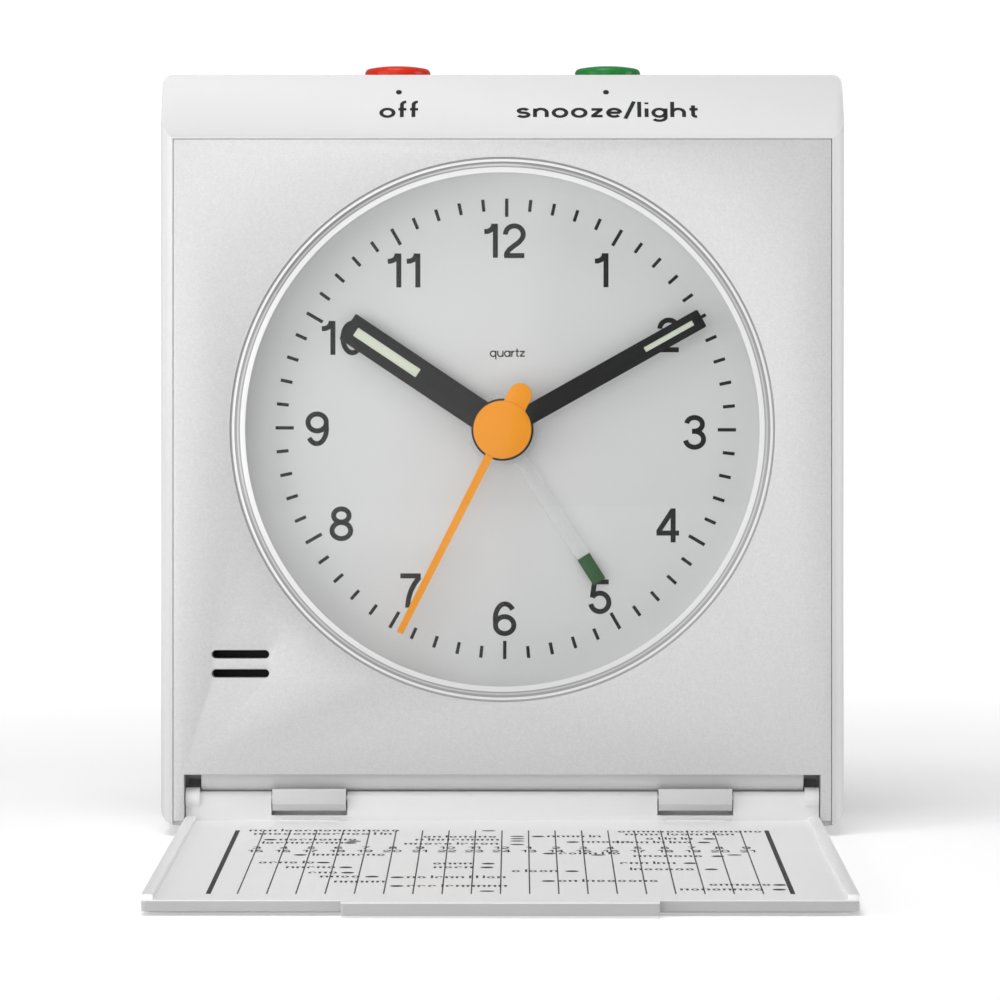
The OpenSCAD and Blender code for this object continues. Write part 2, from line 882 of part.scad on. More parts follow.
module pillars(y0, y1) {
    for (s = [-1, 1]) for (z = [pillar_bottom, pillar_top])
        translate([s * pillar_x, 0, z]) bar(pillar_r, y0, y1);
}

module pillar_bores(r, y0, y1) {
    for (s = [-1, 1]) for (z = [pillar_bottom, pillar_top])
        translate([s * pillar_x, 0, z]) bar(r, y0, y1);
}

module at_point(at) {
    translate([at[0], 0, at[1]]) children();
}

module movement_cover() {
    color("lightgray") from_centre() difference() {
        slab(cover_y, cover_y + cover_t) movement_outline();
        bar(alarm_pipe_r + run_gap, 0, far);
    }
}

module movement_plate() {
    color("lightgray") from_centre() difference() {
        union() {
            slab(plate_y, plate_y + plate_t) {
                movement_outline();
                for (s = [-1, 1]) translate([s * (move_half + ear_x) / 2, ear_z])
                    square([ear_x - move_half + 3.6, 4], center = true);
            }
            pillars(cover_y + cover_t, plate_y + eps);
            pillars(plate_y + plate_t - eps, bridge_y);
            at_point(minute_at) bar(arbor_r, hour_layer - 0.05, plate_y + eps);
        }
        bar(centre_pipe_r + run_gap, 0, far);
        for (at = [third_at, step_at, rotor_at]) at_point(at) bar(pivot_r + run_gap, plate_y + 0.45, far);
        for (at = [time_at, alarm_at]) at_point(at) bar(shaft_r + run_gap, plate_y - 1, far);
        pillar_bores(small_screw_r, bridge_y - 3, bridge_y + 1);
        for (s = [-1, 1]) at_point([s * ear_x, ear_z]) bar(small_screw_r + slip_gap, plate_y - 1, plate_y + 2);
    }
}

module movement_bridge() {
    color("lightgray") from_centre() difference() {
        slab(bridge_y, bridge_y + bridge_t) movement_outline();
        for (at = [third_at, step_at, rotor_at]) at_point(at) bar(pivot_r + run_gap, 0, bridge_y + 0.55);
        bar(arbor_r + run_gap, 0, bridge_y + 0.55);
        for (at = [time_at, alarm_at]) at_point(at) bar(shaft_r + run_gap, 0, far);
        pillar_bores(small_screw_r + slip_gap, bridge_y - 1, bridge_y + 2);
    }
}

module movement_screws() {
    color("silver") from_centre() {
        for (s = [-1, 1]) for (z = [pillar_bottom, pillar_top])
            translate([s * pillar_x, 0, z]) small_screw(bridge_y + bridge_t, 3.4);
        for (s = [-1, 1]) at_point([s * ear_x, ear_z]) small_screw(plate_y + plate_t, 3.4);
    }
}

// A small screw whose head sits at depth y and whose shank points to the front
module small_screw(y, len) {
    difference() {
        union() {
            bar(small_screw_r, y - len, y + eps);
            bar(small_head_r, y, y + 0.7);
        }
        cross_slot(small_head_r, y + 0.4);
    }
}

module stator() {
    color("darkgray") from_centre() slab(coil_y - stator_t / 2, coil_y + stator_t / 2) difference() {
        union() {
            translate([-14, rotor_at[1] - 2.7]) square([28, 5.2]);
            for (s = [-1, 1]) translate([s * 12.5 - 1.5, coil_z - 0.6]) square([3, rotor_at[1] - coil_z]);
            translate([-13, coil_z - 0.6]) square([26, 1.2]);
        }
        translate(rotor_at) circle(magnet_r + 0.4);
        for (s = [-1, 1]) translate(rotor_at + [s * 0.6, s * 2.7]) square([0.25, 1.4], center = true);
    }
}

module coil_bobbin() {
    color("ivory") from_centre() difference() {
        union() {
            pin_x(1, -9.6, 9.6, coil_y, coil_z);
            for (s = [-1, 1]) pin_x(1.85, s * 9.3 - 0.3, s * 9.3 + 0.3, coil_y, coil_z);
        }
        translate([-far, coil_y - stator_t / 2 - 0.02, coil_z - 0.62]) cube([2 * far, stator_t + 0.04, 1.24]);
    }
}

module coil_winding() {
    color("chocolate") from_centre() difference() {
        pin_x(1.6, -8.9, 8.9, coil_y, coil_z);
        pin_x(1.02, -far, far, coil_y, coil_z);
    }
}

module alarm_contact() {
    color("gold") from_centre() {
        slab(minute_layer + 0.25, minute_layer + 0.4) translate([6, 9]) square([9, 1.6]);
        slab(minute_layer + 0.4 - eps, plate_y) translate([12, 9]) square([3, 1.6]);
    }
}

// ---- electrics ----

module circuit_board() {
    color("darkgreen") difference() {
        slab(board_y, board_y + board_t) translate([-board_half, board_low])
            square([2 * board_half, board_high - board_low]);
        for (s = [-1, 1]) translate([s * (board_half - 2.2), 0, board_low + 2.2]) bar(0.8, 0, far);
    }
}

module chip() {
    color([0.08, 0.08, 0.08]) translate([-4, board_y - 0.5, board_low + 4.4])
        turned_blob(2.6, 0.5);
}

// A low dome of sealing resin, flat against the board behind it
module turned_blob(r, t) {
    rotate([-90, 0, 0]) cylinder(r1 = r * 0.6, r2 = r, h = t);
}

module timing_crystal() {
    color("silver") pin_x(1, 4, 10, board_y - 1.02, board_low + 5);
}

module button_switches() {
    color("dimgray") for (s = [-1, 1]) translate([s * button_x, 0, 0]) {
        translate([-3, board_y - 3.2, board_high + 0.02]) cube([6, 4.4, 0.9]);
        translate([0, button_y, board_high + 0.9]) cylinder(r = 1.2, h = switch_top - board_high - 0.9);
    }
}

module battery_cell() {
    color("slategray") {
        pin_x(cell_r, -cell_len / 2, cell_len / 2 - 1, cell_y, cell_z);
        pin_x(1.9, cell_len / 2 - 1 - eps, cell_len / 2, cell_y, cell_z);
    }
}

// Cone of wire rings that presses on the flat end of the cell
module battery_spring() {
    coils = 4;
    color("silver") translate([-cell_len / 2, cell_y, cell_z]) rotate([0, -90, 0]) {
        for (i = [0:coils - 1]) translate([0, 0, 0.36 + i * 0.62]) rotate_extrude()
            translate([2 + i * 0.5, 0]) circle(0.32);
        translate([0, 0, bay_half - cell_len / 2 - 0.55]) cylinder(r = 4.2, h = 0.5);
    }
}

module battery_contact() {
    color("silver") translate([cell_len / 2 + 0.02, cell_y - 4, cell_z - 4]) cube([0.4, 8, 8]);
    color("silver") translate([cell_len / 2 + 0.4, cell_y - 1.5, cell_z - 1.5])
        cube([bay_half - cell_len / 2 - 0.45, 3, 3]);
}

// A round wire between two points
module rod(a, b, r) {
    d = b - a;
    translate(a) rotate([0, acos(d[2] / norm(d)), atan2(d[1], d[0])]) cylinder(r = r, h = norm(d));
}

module lead(points) {
    for (i = [1:len(points) - 1]) rod(points[i - 1], points[i], 0.4);
    for (i = [1:len(points) - 2]) translate(points[i]) sphere(0.46);
}

// Two insulated wires from the battery bay up to the board, one inside each pair of posts
module battery_leads() {
    side = post_x - post_r - 1.4;
    color("firebrick") for (s = [-1, 1])
        lead([[s * (bay_half + bay_wall + 0.45), cell_y - 1, cell_z],
              [s * (bay_half + bay_wall + 0.5), cell_y - 3, cell_z + bay_h / 2 + 2],
              [s * side, 8, post_low + 4], [s * side, 8, 52], [s * (board_half + 1.4), 8.6, board_low + 2],
              [s * (board_half - 1.5), board_y - 0.5, board_low + 5.5]]);
}

// ---- hinge and lid ----

module hinge_pins() {
    color("silver") for (s = [-1, 1])
        pin_x(pin_r, s * lug_x - pin_len / 2, s * lug_x + pin_len / 2, hinge_y, hinge_z);
}

// Leaf springs in the end pockets, against the lid's cams
module detent_springs() {
    color("silver") for (s = [-1, 1]) scale([s, 1, 1]) {
        rail(bar_half + 0.2, recess_half - 0.2) polygon([
            [hinge_y + cam_r + 0.08, 0.8], [hinge_y + cam_r + 0.28, 0.8],
            [hinge_y + cam_r + 0.28, 3.4], [pocket_d, 4.4], [pocket_d - 0.2, 4.5],
            [hinge_y + cam_r + 0.08, 3.5]]);
    }
}

module lid_outline() {
    round_box(-lid_half, lid_half, lid_low, lid_top, 0.01, 0.4);
    round_box(-tab_w / 2, tab_w / 2, lid_top - 2, lid_top + tab_reach, 0.01, 0.25);
}

// Shallow slope worked round the outside of the lid, but not on the finger tab
module lid_bevels() {
    for (s = [-1, 1]) scale([s, 1, 1]) slab_wedge();
    for (s = [-1, 1]) scale([s, 1, 1]) rail(tab_w / 2, far) polygon([
        [lid_out - eps, lid_top - lid_bevel_w], [lid_out + lid_bevel_t, lid_top + eps],
        [lid_out + lid_bevel_t, lid_top + 1], [lid_out - eps, lid_top + 1]]);
}

module slab_wedge() {
    translate([0, 0, -1]) linear_extrude(height = far) polygon([
        [lid_half - lid_bevel_w, lid_out - eps], [lid_half + eps, lid_out + lid_bevel_t],
        [lid_half + 1, lid_out + lid_bevel_t], [lid_half + 1, lid_out - eps]]);
}

module lid_shell() {
    color("whitesmoke") difference() {
        union() {
            difference() {
                slab(lid_out, lid_in) lid_outline();
                lid_bevels();
            }
            // Rims that rest on the face panel when the lid is shut
            for (s = [-1, 1]) scale([s, 1, 1]) rail(lid_half - rim_w, lid_half)
                polygon([[lid_in - eps, lid_low], [-0.02, lid_low + 0.4], [-0.02, lid_top - 0.5],
                         [lid_in - eps, lid_top - 0.15]]);
            // Flange with the rolled edge on the hinge axis
            rail(-lid_half, lid_half) translate([lid_in - eps, lid_low]) square([hinge_y - lid_in + eps, 2 * roll_r]);
            pin_x(roll_r, -lid_half, lid_half, hinge_y, hinge_z);
            for (s = [-1, 1]) scale([s, 1, 1]) pin_x(cam_r, bar_half + 0.15, lid_half, hinge_y, hinge_z);
            for (s = [-1, 1]) translate([s * lug_x - 2.95, lid_in - eps, hinge_z + roll_r - eps])
                cube([5.9, 0.12, 0.55]);
        }
        for (s = [-1, 1]) {
            translate([s * lug_x - notch_w / 2, lip_end, -1]) cube([notch_w, far, 10]);
            pin_x(pin_r + run_gap, s * lug_x - pin_len / 2 - 0.1, s * lug_x + pin_len / 2 + 0.1, hinge_y, hinge_z);
        }
    }
}

// ---- buttons and battery door ----

// A push button: crowned cap, retaining flange and stem
module push_button(x) {
    cap_top = case_h + button_proud;
    translate([x, button_y, 0]) rotate_extrude() polygon(concat(
        [[0, stem_low], [button_stem_r, stem_low], [button_stem_r, flange_top - 0.9],
         [button_r + 0.6, flange_top - 0.9], [button_r + 0.6, flange_top], [button_r, flange_top]],
        [for (a = [0:15:90]) [button_r - cap_edge + cap_edge * cos(a),
                              cap_top - cap_crown - cap_edge + cap_edge * sin(a)]],
        [for (i = [1:4]) [(button_r - cap_edge) * (1 - i / 4),
                          cap_top - cap_crown * pow(1 - i / 4, 2)]]));
}

module off_button() {
    color("red") push_button(-button_x);
}

module snooze_button() {
    color("green") push_button(button_x);
}

module battery_door() {
    door_half = bay_half + door_lip - slip_gap;
    door_z = bay_h / 2 + door_lip - slip_gap;
    color("whitesmoke") difference() {
        union() {
            slab(case_d - door_t + 0.02, case_d) round_box(-door_half, door_half, cell_z - door_z,
                                                          cell_z + door_z, 0.3, 0.3);
            // Snap ribs that drop into the bay mouth
            for (s = [-1, 1]) translate([-6, case_d - door_t - 0.7, cell_z + s * (bay_h / 2 - 0.5) - 0.35])
                cube([12, 0.75, 0.7]);
        }
        // Finger groove
        for (i = [0:3]) translate([-7, case_d - 0.4, cell_z + door_z - 2.2 - i * 0.9]) cube([14, 1, 0.45]);
    }
}

leaned() front_case();
leaned() face_panel();
leaned() crystal();
leaned() dial_ring();
leaned() dial();
leaned() light_guide();
leaned() light_lamp();
leaned() rear_case();
leaned() case_screws();
leaned() battery_door();
leaned() battery_cell();
leaned() battery_spring();
leaned() battery_contact();
leaned() battery_leads();
leaned() sound_gauze();
leaned() buzzer();
leaned() circuit_board();
leaned() chip();
leaned() timing_crystal();
leaned() button_switches();
leaned() movement_cover();
leaned() movement_plate();
leaned() movement_bridge();
leaned() movement_screws();
leaned() stator();
leaned() coil_bobbin();
leaned() coil_winding();
leaned() alarm_contact();
leaned() hinge_pins();
leaned() detent_springs();
opened() lid_shell();
leaned() off_button();
leaned() snooze_button();
leaned() second_hand();
leaned() second_wheel();
leaned() minute_hand();
leaned() minute_lume();
leaned() centre_pipe();
leaned() hour_hand();
leaned() hour_lume();
leaned() hour_wheel();
leaned() alarm_hand();
leaned() alarm_tip();
leaned() alarm_wheel();
leaned() centre_wheel();
leaned() third_wheel();
leaned() step_wheel();
leaned() rotor();
leaned() minute_wheel();
leaned() time_knob();
leaned() time_shaft();
leaned() alarm_knob();
leaned() alarm_shaft();
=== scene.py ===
import json
import math
import random

import bmesh
import bpy
from mathutils import Matrix, Vector


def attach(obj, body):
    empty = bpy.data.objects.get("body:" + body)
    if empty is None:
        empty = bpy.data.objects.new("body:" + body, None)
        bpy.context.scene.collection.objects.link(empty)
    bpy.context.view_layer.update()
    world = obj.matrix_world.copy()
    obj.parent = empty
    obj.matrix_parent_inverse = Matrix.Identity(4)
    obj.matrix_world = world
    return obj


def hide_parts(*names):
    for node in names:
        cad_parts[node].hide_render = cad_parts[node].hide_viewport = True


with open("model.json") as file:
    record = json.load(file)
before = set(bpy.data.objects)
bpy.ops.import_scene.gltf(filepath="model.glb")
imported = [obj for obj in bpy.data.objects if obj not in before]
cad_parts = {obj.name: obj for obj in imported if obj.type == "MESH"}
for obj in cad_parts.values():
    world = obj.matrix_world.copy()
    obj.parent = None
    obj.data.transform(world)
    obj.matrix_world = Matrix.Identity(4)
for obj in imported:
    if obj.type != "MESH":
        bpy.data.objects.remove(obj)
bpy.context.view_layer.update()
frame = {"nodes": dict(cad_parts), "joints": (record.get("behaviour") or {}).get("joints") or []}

# The upright case. Every piece is drawn in millimetres with the case standing upright:
# X to the right, Y back from the face, Z up from the bottom. UPRIGHT then leans the case
# back on its hinge, and FOLDED_DOWN turns the lid from shut to flat on the table.
joints = {joint["name"]: joint for joint in frame["joints"]}
hinge_place = Vector(joints["lid_hinge"]["pos_m"])
towards_back = joints["minute_spin"]["axis"]
lean = math.atan2(-towards_back[2], towards_back[1])
HINGE = Vector((0, 1.75, 2.73))
to_metres = Matrix.Scale(0.001, 4) @ Matrix.Translation(-HINGE)
UPRIGHT = Matrix.Translation(hinge_place) @ Matrix.Rotation(-lean, 4, "X") @ to_metres
FOLDED_DOWN = Matrix.Translation(hinge_place) @ Matrix.Rotation(math.pi / 2, 4, "X") @ to_metres
DIAL_Z = 39.4

# Camera. A long lens square to the face, a little right of the middle, so that the face
# keeps its true shape and the open lid runs away below it.
camera = bpy.data.objects.new("camera", bpy.data.cameras.new("camera"))
bpy.context.scene.collection.objects.link(camera)
bpy.context.scene.camera = camera
camera.data.lens = 195.8
eye = UPRIGHT @ Vector((1.44, -540, 32.4))
camera.location = eye
camera.rotation_mode = "QUATERNION"
camera.rotation_quaternion = (UPRIGHT @ Vector((-0.23, 0, 32.4)) - eye).to_track_quat("-Z", "Y")
camera.data.clip_start = 0.02
camera.data.clip_end = 20


class Tone:
    """One value of a shader, so that masks and mixes can be written as sums."""

    def __init__(self, tree, socket):
        self.tree, self.socket = tree, socket

    def _sum(self, operation, first, second):
        node = self.tree.nodes.new("ShaderNodeMath")
        node.operation = operation
        for socket, value in zip(node.inputs, (first, second)):
            feed(self.tree, socket, value)
        return Tone(self.tree, node.outputs[0])

    def __add__(self, other): return self._sum("ADD", self, other)
    def __radd__(self, other): return self._sum("ADD", other, self)
    def __sub__(self, other): return self._sum("SUBTRACT", self, other)
    def __rsub__(self, other): return self._sum("SUBTRACT", other, self)
    def __mul__(self, other): return self._sum("MULTIPLY", self, other)
    def __rmul__(self, other): return self._sum("MULTIPLY", other, self)
    def __truediv__(self, other): return self._sum("DIVIDE", self, other)
    def __gt__(self, other): return self._sum("GREATER_THAN", self, other)
    def __lt__(self, other): return self._sum("LESS_THAN", self, other)
    def __pow__(self, other): return self._sum("POWER", self, other)


def feed(tree, socket, value):
    """Links a Tone to a socket, or sets the socket to a plain value."""
    if isinstance(value, Tone):
        tree.links.new(value.socket, socket)
    elif value is not None:
        socket.default_value = value


class Finish:
    """A material under construction: one Principled shader and what feeds it."""

    def __init__(self, name, **constants):
        self.material = bpy.data.materials.new(name)
        self.material.use_nodes = True
        self.tree = self.material.node_tree
        self.shader = self.tree.nodes["Principled BSDF"]
        for socket, value in constants.items():
            self.shader.inputs[socket.replace("_", " ")].default_value = value

    def node(self, kind, settings, sockets, out=0):
        """Any node: its settings first, then the values or links of its sockets."""
        node = self.tree.nodes.new("ShaderNode" + kind)
        for name, value in settings.items():
            setattr(node, name, value)
        for name, value in sockets.items():
            feed(self.tree, node.inputs[name], value)
        return Tone(self.tree, node.outputs[out])

    def spot(self, matrix=None):
        """Where a point lies, in metres, or in the millimetres of an upright drawing."""
        here = self.node("TexCoord", {}, {}, "Object")
        if matrix is None:
            return here
        back = matrix.inverted()
        return self.node("Mapping", {}, {
            "Vector": here, "Location": back.translation, "Rotation": back.to_euler(),
            "Scale": back.to_scale()})

    def noise(self, spot, size, detail=2.0):
        """Cloudy variation whose patches are about size millimetres across."""
        return self.node("TexNoise", {}, {"Vector": spot, "Scale": 1000 / size, "Detail": detail})

    def mix(self, amount, first, second):
        first, second = [(*c, 1) if isinstance(c, tuple) and len(c) == 3 else c for c in (first, second)]
        return self.node("Mix", {"data_type": "RGBA"}, {0: amount, 6: first, 7: second}, 2)

    def set(self, **tones):
        for socket, tone in tones.items():
            feed(self.tree, self.shader.inputs[socket.replace("_", " ")], tone)
        return self

    def bump(self, height, depth):
        """A surface relief, depth millimetres deep."""
        self.set(Normal=self.node("Bump", {}, {
            "Strength": 1.0, "Distance": depth / 1000, "Height": height}))
        return self


def shade(colour, amount):
    return tuple(channel * amount for channel in colour)


def grey(level):
    return (level, level, level)


# Floor and light. A glowing white table that runs out of sight, its glow painted darker near
# the clock as painted shade, an even white room, a near key light at the left, a light above
# and a tall tilted panel beside the camera.
floor = bpy.data.objects.new("floor", bpy.data.meshes.new("floor"))
bm = bmesh.new()
bmesh.ops.create_grid(bm, x_segments=1, y_segments=1, size=6)
bmesh.ops.translate(bm, verts=bm.verts, vec=(0, 0, -0.00004))
bm.to_mesh(floor.data)
bm.free()
bpy.context.scene.collection.objects.link(floor)
table_top = Finish("table_top", Roughness=0.9, Specular_IOR_Level=0.1, Emission_Strength=0.85)
here = table_top.spot()
away = table_top.node("VectorMath", {"operation": "LENGTH"}, {0: here}, "Value")
# Painted shade: the floor's glow is dimmed to a quarter near the middle, where the clock stands, and rises
# to full by 0.36 m, so that the floor darkens round the clock.
painted_shade_fade = table_top.node("MapRange", {}, {"Value": away, "From Min": 0.1, "From Max": 0.36})
table_top.set(Base_Color=table_top.mix(table_top.noise(here, 400), grey(0.94), grey(0.96)),
              Emission_Color=table_top.mix(painted_shade_fade, grey(0.24), grey(1.0)))
floor.data.materials.append(table_top.material)

room = bpy.data.worlds.new("room")
room.use_nodes = True
backdrop = room.node_tree.nodes["Background"]
backdrop.inputs["Color"].default_value = (1, 1, 1, 1)
ray = room.node_tree.nodes.new("ShaderNodeLightPath")
seen_directly = Tone(room.node_tree, ray.outputs["Is Camera Ray"])
feed(room.node_tree, backdrop.inputs["Strength"], 0.3 + seen_directly * 0.75)
bpy.context.scene.world = room
bpy.context.scene.view_settings.view_transform = "Standard"


def soft_light(name, place, target, width, height, power, roll=0.0):
    """A soft panel of light, sizes and places in millimetres in the upright frame."""
    lamp = bpy.data.lights.new(name, "AREA")
    lamp.shape = "RECTANGLE"
    lamp.size, lamp.size_y = width / 1000, height / 1000
    lamp.energy = power
    panel = bpy.data.objects.new(name, lamp)
    panel.location = UPRIGHT @ Vector(place)
    panel.rotation_mode = "QUATERNION"
    aim = (UPRIGHT @ Vector(target) - panel.location).to_track_quat("-Z", "Y").to_matrix()
    panel.rotation_quaternion = (aim @ Matrix.Rotation(math.radians(roll), 3, "Z")).to_quaternion()
    bpy.context.scene.collection.objects.link(panel)


soft_light("key", (-215, -150, 58), (0, 0, 36), 170, 170, 0.24)
soft_light("above", (-60, -170, 460), (0, 0, 35), 260, 260, 1.0)
soft_light("beside_camera", (-160.5, -640, 60), (-160.5, 0, 60), 330, 900, 1.15, roll=-8.6)
soft_light("right_fill", (420, -60, 60), (0, 0, 36), 200, 300, 0.6)


def keep(bm, name, place, body, finish, crease=35.0, **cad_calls):
    """Turns a bmesh into a finished piece that rides on a body."""
    bmesh.ops.transform(bm, matrix=place, verts=bm.verts)
    for face in bm.faces:
        face.smooth = True
    for edge in bm.edges:
        if len(edge.link_faces) == 2 and edge.calc_face_angle(0) > math.radians(crease):
            edge.smooth = False
    mesh = bpy.data.meshes.new(name)
    bm.to_mesh(mesh)
    bm.free()
    piece = bpy.data.objects.new(name, mesh)
    bpy.context.scene.collection.objects.link(piece)
    mesh.materials.append(finish.material)
    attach(piece, body)
    if "replaces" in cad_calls:
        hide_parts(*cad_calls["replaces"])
    return piece


def paint(finish, *nodes):
    """Gives CAD shapes that are already right a better material."""
    for node in nodes:
        piece = frame["nodes"][node]
        if piece.material_slots:
            piece.material_slots[0].material = finish.material
        else:
            piece.data.materials.append(finish.material)


def eased(node, width, finish, body, slot, sharp=30.0, segments=3):
    """A CAD shape with its sharp edges eased, as the mould leaves them."""
    bm = bmesh.new()
    bm.from_mesh(frame["nodes"][node].data)
    bmesh.ops.remove_doubles(bm, verts=bm.verts, dist=2e-6)
    bmesh.ops.dissolve_limit(bm, angle_limit=math.radians(0.4), verts=bm.verts, edges=bm.edges)
    edges = [e for e in bm.edges if len(e.link_faces) == 2 and e.calc_face_angle(0) > math.radians(sharp)]
    bmesh.ops.bevel(bm, geom=edges, offset=width / 1000, offset_type="OFFSET", segments=segments,
                    profile=0.5, affect="EDGES", clamp_overlap=True, material=-1)
    return keep(bm, node + "_moulding", Matrix.Identity(4), body, finish, replaces=[node], slot=slot)


def arc(x, z, r, start, end, steps):
    """Points along an arc, in degrees anticlockwise from the right."""
    return [(x + r * math.cos(math.radians(start + (end - start) * i / steps)),
             z + r * math.sin(math.radians(start + (end - start) * i / steps))) for i in range(steps + 1)]


def turn_about_dial(bm, angle):
    """Turns a drawing about the middle of the dial, in degrees clockwise."""
    bmesh.ops.rotate(bm, verts=bm.verts, cent=(0, 0, DIAL_Z),
                     matrix=Matrix.Rotation(math.radians(angle), 3, "Y"))


def plate(outlines, front, back, ease=0.0, turn=0.0):
    """A flat piece: the first outline with the others as holes, front edges eased."""
    bm = bmesh.new()
    for outline in outlines:
        corners = [bm.verts.new((x, back, z)) for x, z in outline]
        for i, corner in enumerate(corners):
            bm.edges.new((corner, corners[(i + 1) % len(corners)]))
    bmesh.ops.triangle_fill(bm, use_beauty=True, use_dissolve=False, edges=bm.edges[:])
    front_faces = bmesh.ops.extrude_face_region(bm, geom=bm.faces[:])["geom"]
    moved = [v for v in front_faces if isinstance(v, bmesh.types.BMVert)]
    bmesh.ops.translate(bm, verts=moved, vec=(0, front - back, 0))
    bmesh.ops.recalc_face_normals(bm, faces=bm.faces)
    if ease:
        edges = [e for e in bm.edges if e.calc_face_angle(0) > math.radians(35)
                 and all(abs(v.co.y - front) < 1e-5 for v in e.verts)]
        bmesh.ops.bevel(bm, geom=edges, offset=ease, offset_type="OFFSET", segments=2,
                        profile=0.5, affect="EDGES", clamp_overlap=True, material=-1)
    if turn:
        turn_about_dial(bm, turn)
    return bm


def turned(profile, steps=192):
    """A turned piece from points of radius and depth, about the axis of the hands."""
    bm = bmesh.new()
    points = [bm.verts.new((r, y, 0)) for r, y in profile]
    edges = [bm.edges.new(pair) for pair in zip(points, points[1:])]
    bmesh.ops.spin(bm, geom=points + edges, cent=(0, 0, 0), axis=(0, 1, 0), dvec=(0, 0, 0),
                   angle=2 * math.pi, steps=steps, use_merge=True, use_duplicate=False)
    bmesh.ops.remove_doubles(bm, verts=bm.verts, dist=1e-4)
    bmesh.ops.recalc_face_normals(bm, faces=bm.faces)
    bmesh.ops.translate(bm, verts=bm.verts, vec=(0, 0, DIAL_Z))
    return bm


# Case mouldings. The front shell carries the sloping strip, the rounded side strips, the
# hinge bar and its two lugs. It is moulded in silver-white ABS with a fine satin grain.
def moulded(name, colour, rough=0.4, grain=0.12, depth=0.003, cloud=0.02, **constants):
    """Moulded plastic: spark-eroded grain, faint flow clouding, gloss that varies a little."""
    finish = Finish(name, **constants)
    here = finish.spot()
    fine = finish.noise(here, grain, 3.0)
    broad = finish.noise(here, 18, 1.0)
    rubbed = finish.noise(here, 5, 3.0)
    clouded = finish.mix(broad * 0.6 + fine * 0.4, shade(colour, 1 - cloud), shade(colour, 1 + cloud))
    finish.set(Base_Color=clouded, Roughness=rough - 0.06 + 0.12 * rubbed)
    return finish.bump(fine, depth)


shell_white = moulded("shell_white", (0.63, 0.63, 0.63), 0.38, Coat_Weight=0.12, Coat_Roughness=0.3)
eased("front_case", 0.14, shell_white, "case", "shell")

# Face panel. A flat pressed plate, lacquered in fine pearl silver, let into the front
# shell. Its window is cut for the crystal and two slots let the alarm sound out.
PANEL_HALF, PANEL_TOP, RECESS_HALF, RECESS_TOP = 32.69, 68.24, 31.6, 5.1
PANEL_FOOT = 0.54
WINDOW = 27.05


def slot_outline(x, z, length, height):
    reach = (length - height) / 2
    return arc(x + reach, z, height / 2, -90, 90, 12) + arc(x - reach, z, height / 2, 90, 270, 12)


def ring_outline(r, steps=256):
    return arc(0, DIAL_Z, r, 0, 360 - 360 / steps, steps - 1)


pearl = Finish("pearl_lacquer", Coat_Weight=0.25, Coat_Roughness=0.22, Metallic=0.35)
here = pearl.spot()
flake = pearl.node("TexVoronoi", {}, {"Vector": here, "Scale": 1000 / 0.09}, "Color")
flake_light = pearl.node("SeparateColor", {}, {"Color": flake}, 0)
glitter = flake_light * 0.5 + pearl.noise(here, 0.4, 3.0) * 0.5
pearl.set(Base_Color=pearl.mix(glitter, (0.55, 0.55, 0.552), (0.67, 0.67, 0.672)),
          Roughness=0.36 + 0.12 * pearl.noise(here, 0.25, 2.0))
pearl.bump(flake_light + pearl.noise(here, 0.3, 2.0), 0.004)
panel_outline = [(-PANEL_HALF, PANEL_FOOT), (-RECESS_HALF, PANEL_FOOT), (-RECESS_HALF, RECESS_TOP),
                 (RECESS_HALF, RECESS_TOP), (RECESS_HALF, PANEL_FOOT), (PANEL_HALF, PANEL_FOOT),
                 (PANEL_HALF, PANEL_TOP), (-PANEL_HALF, PANEL_TOP)]
slots = [slot_outline(-26, z, 5.7, 0.82) for z in (15.17, 17.07)]
keep(plate([panel_outline, ring_outline(WINDOW), *slots], 0, 0.8, 0.1), "face_plate", UPRIGHT, "case", pearl,
     replaces=["face_panel"], slot="panel")

# Crystal. A clear acrylic disc with a polished bevel, dropped in from behind and trapped
# by its flange. Its gloss is set well below that of bare acrylic, as for a hard coat, so
# that it hardly veils the dial.
crystal = bpy.data.materials.new("crystal_acrylic")
crystal.use_nodes = True
tree = crystal.node_tree
tree.nodes.remove(tree.nodes["Principled BSDF"])
clear = tree.nodes.new("ShaderNodeBsdfTransparent")
clear.inputs["Color"].default_value = (0.995, 0.998, 0.998, 1)
gloss = tree.nodes.new("ShaderNodeBsdfGlossy")
gloss.inputs["Roughness"].default_value = 0.015
sheen = tree.nodes.new("ShaderNodeFresnel")
sheen.inputs["IOR"].default_value = 1.49
both = tree.nodes.new("ShaderNodeMixShader")
feed(tree, both.inputs[0], Tone(tree, sheen.outputs[0]) * 0.38)
tree.links.new(clear.outputs[0], both.inputs[1])
tree.links.new(gloss.outputs[0], both.inputs[2])
tree.links.new(both.outputs[0], tree.nodes["Material Output"].inputs["Surface"])


class Ready:
    """A finished material, for pieces that need no more nodes."""

    def __init__(self, material):
        self.material = material


crystal_profile = [(0, -0.3), (25.45, -0.3), (25.62, -0.27), (26.35, 0.02), (26.55, 0.16), (26.6, 0.3),
                   (26.6, 0.85), (28.3, 0.85), (28.3, 1.5), (25.9, 1.5), (25.9, 0.9), (0, 0.9)]
keep(turned(crystal_profile), "crystal_disc", UPRIGHT, "case", Ready(crystal),
     replaces=["crystal"], slot="crystal")
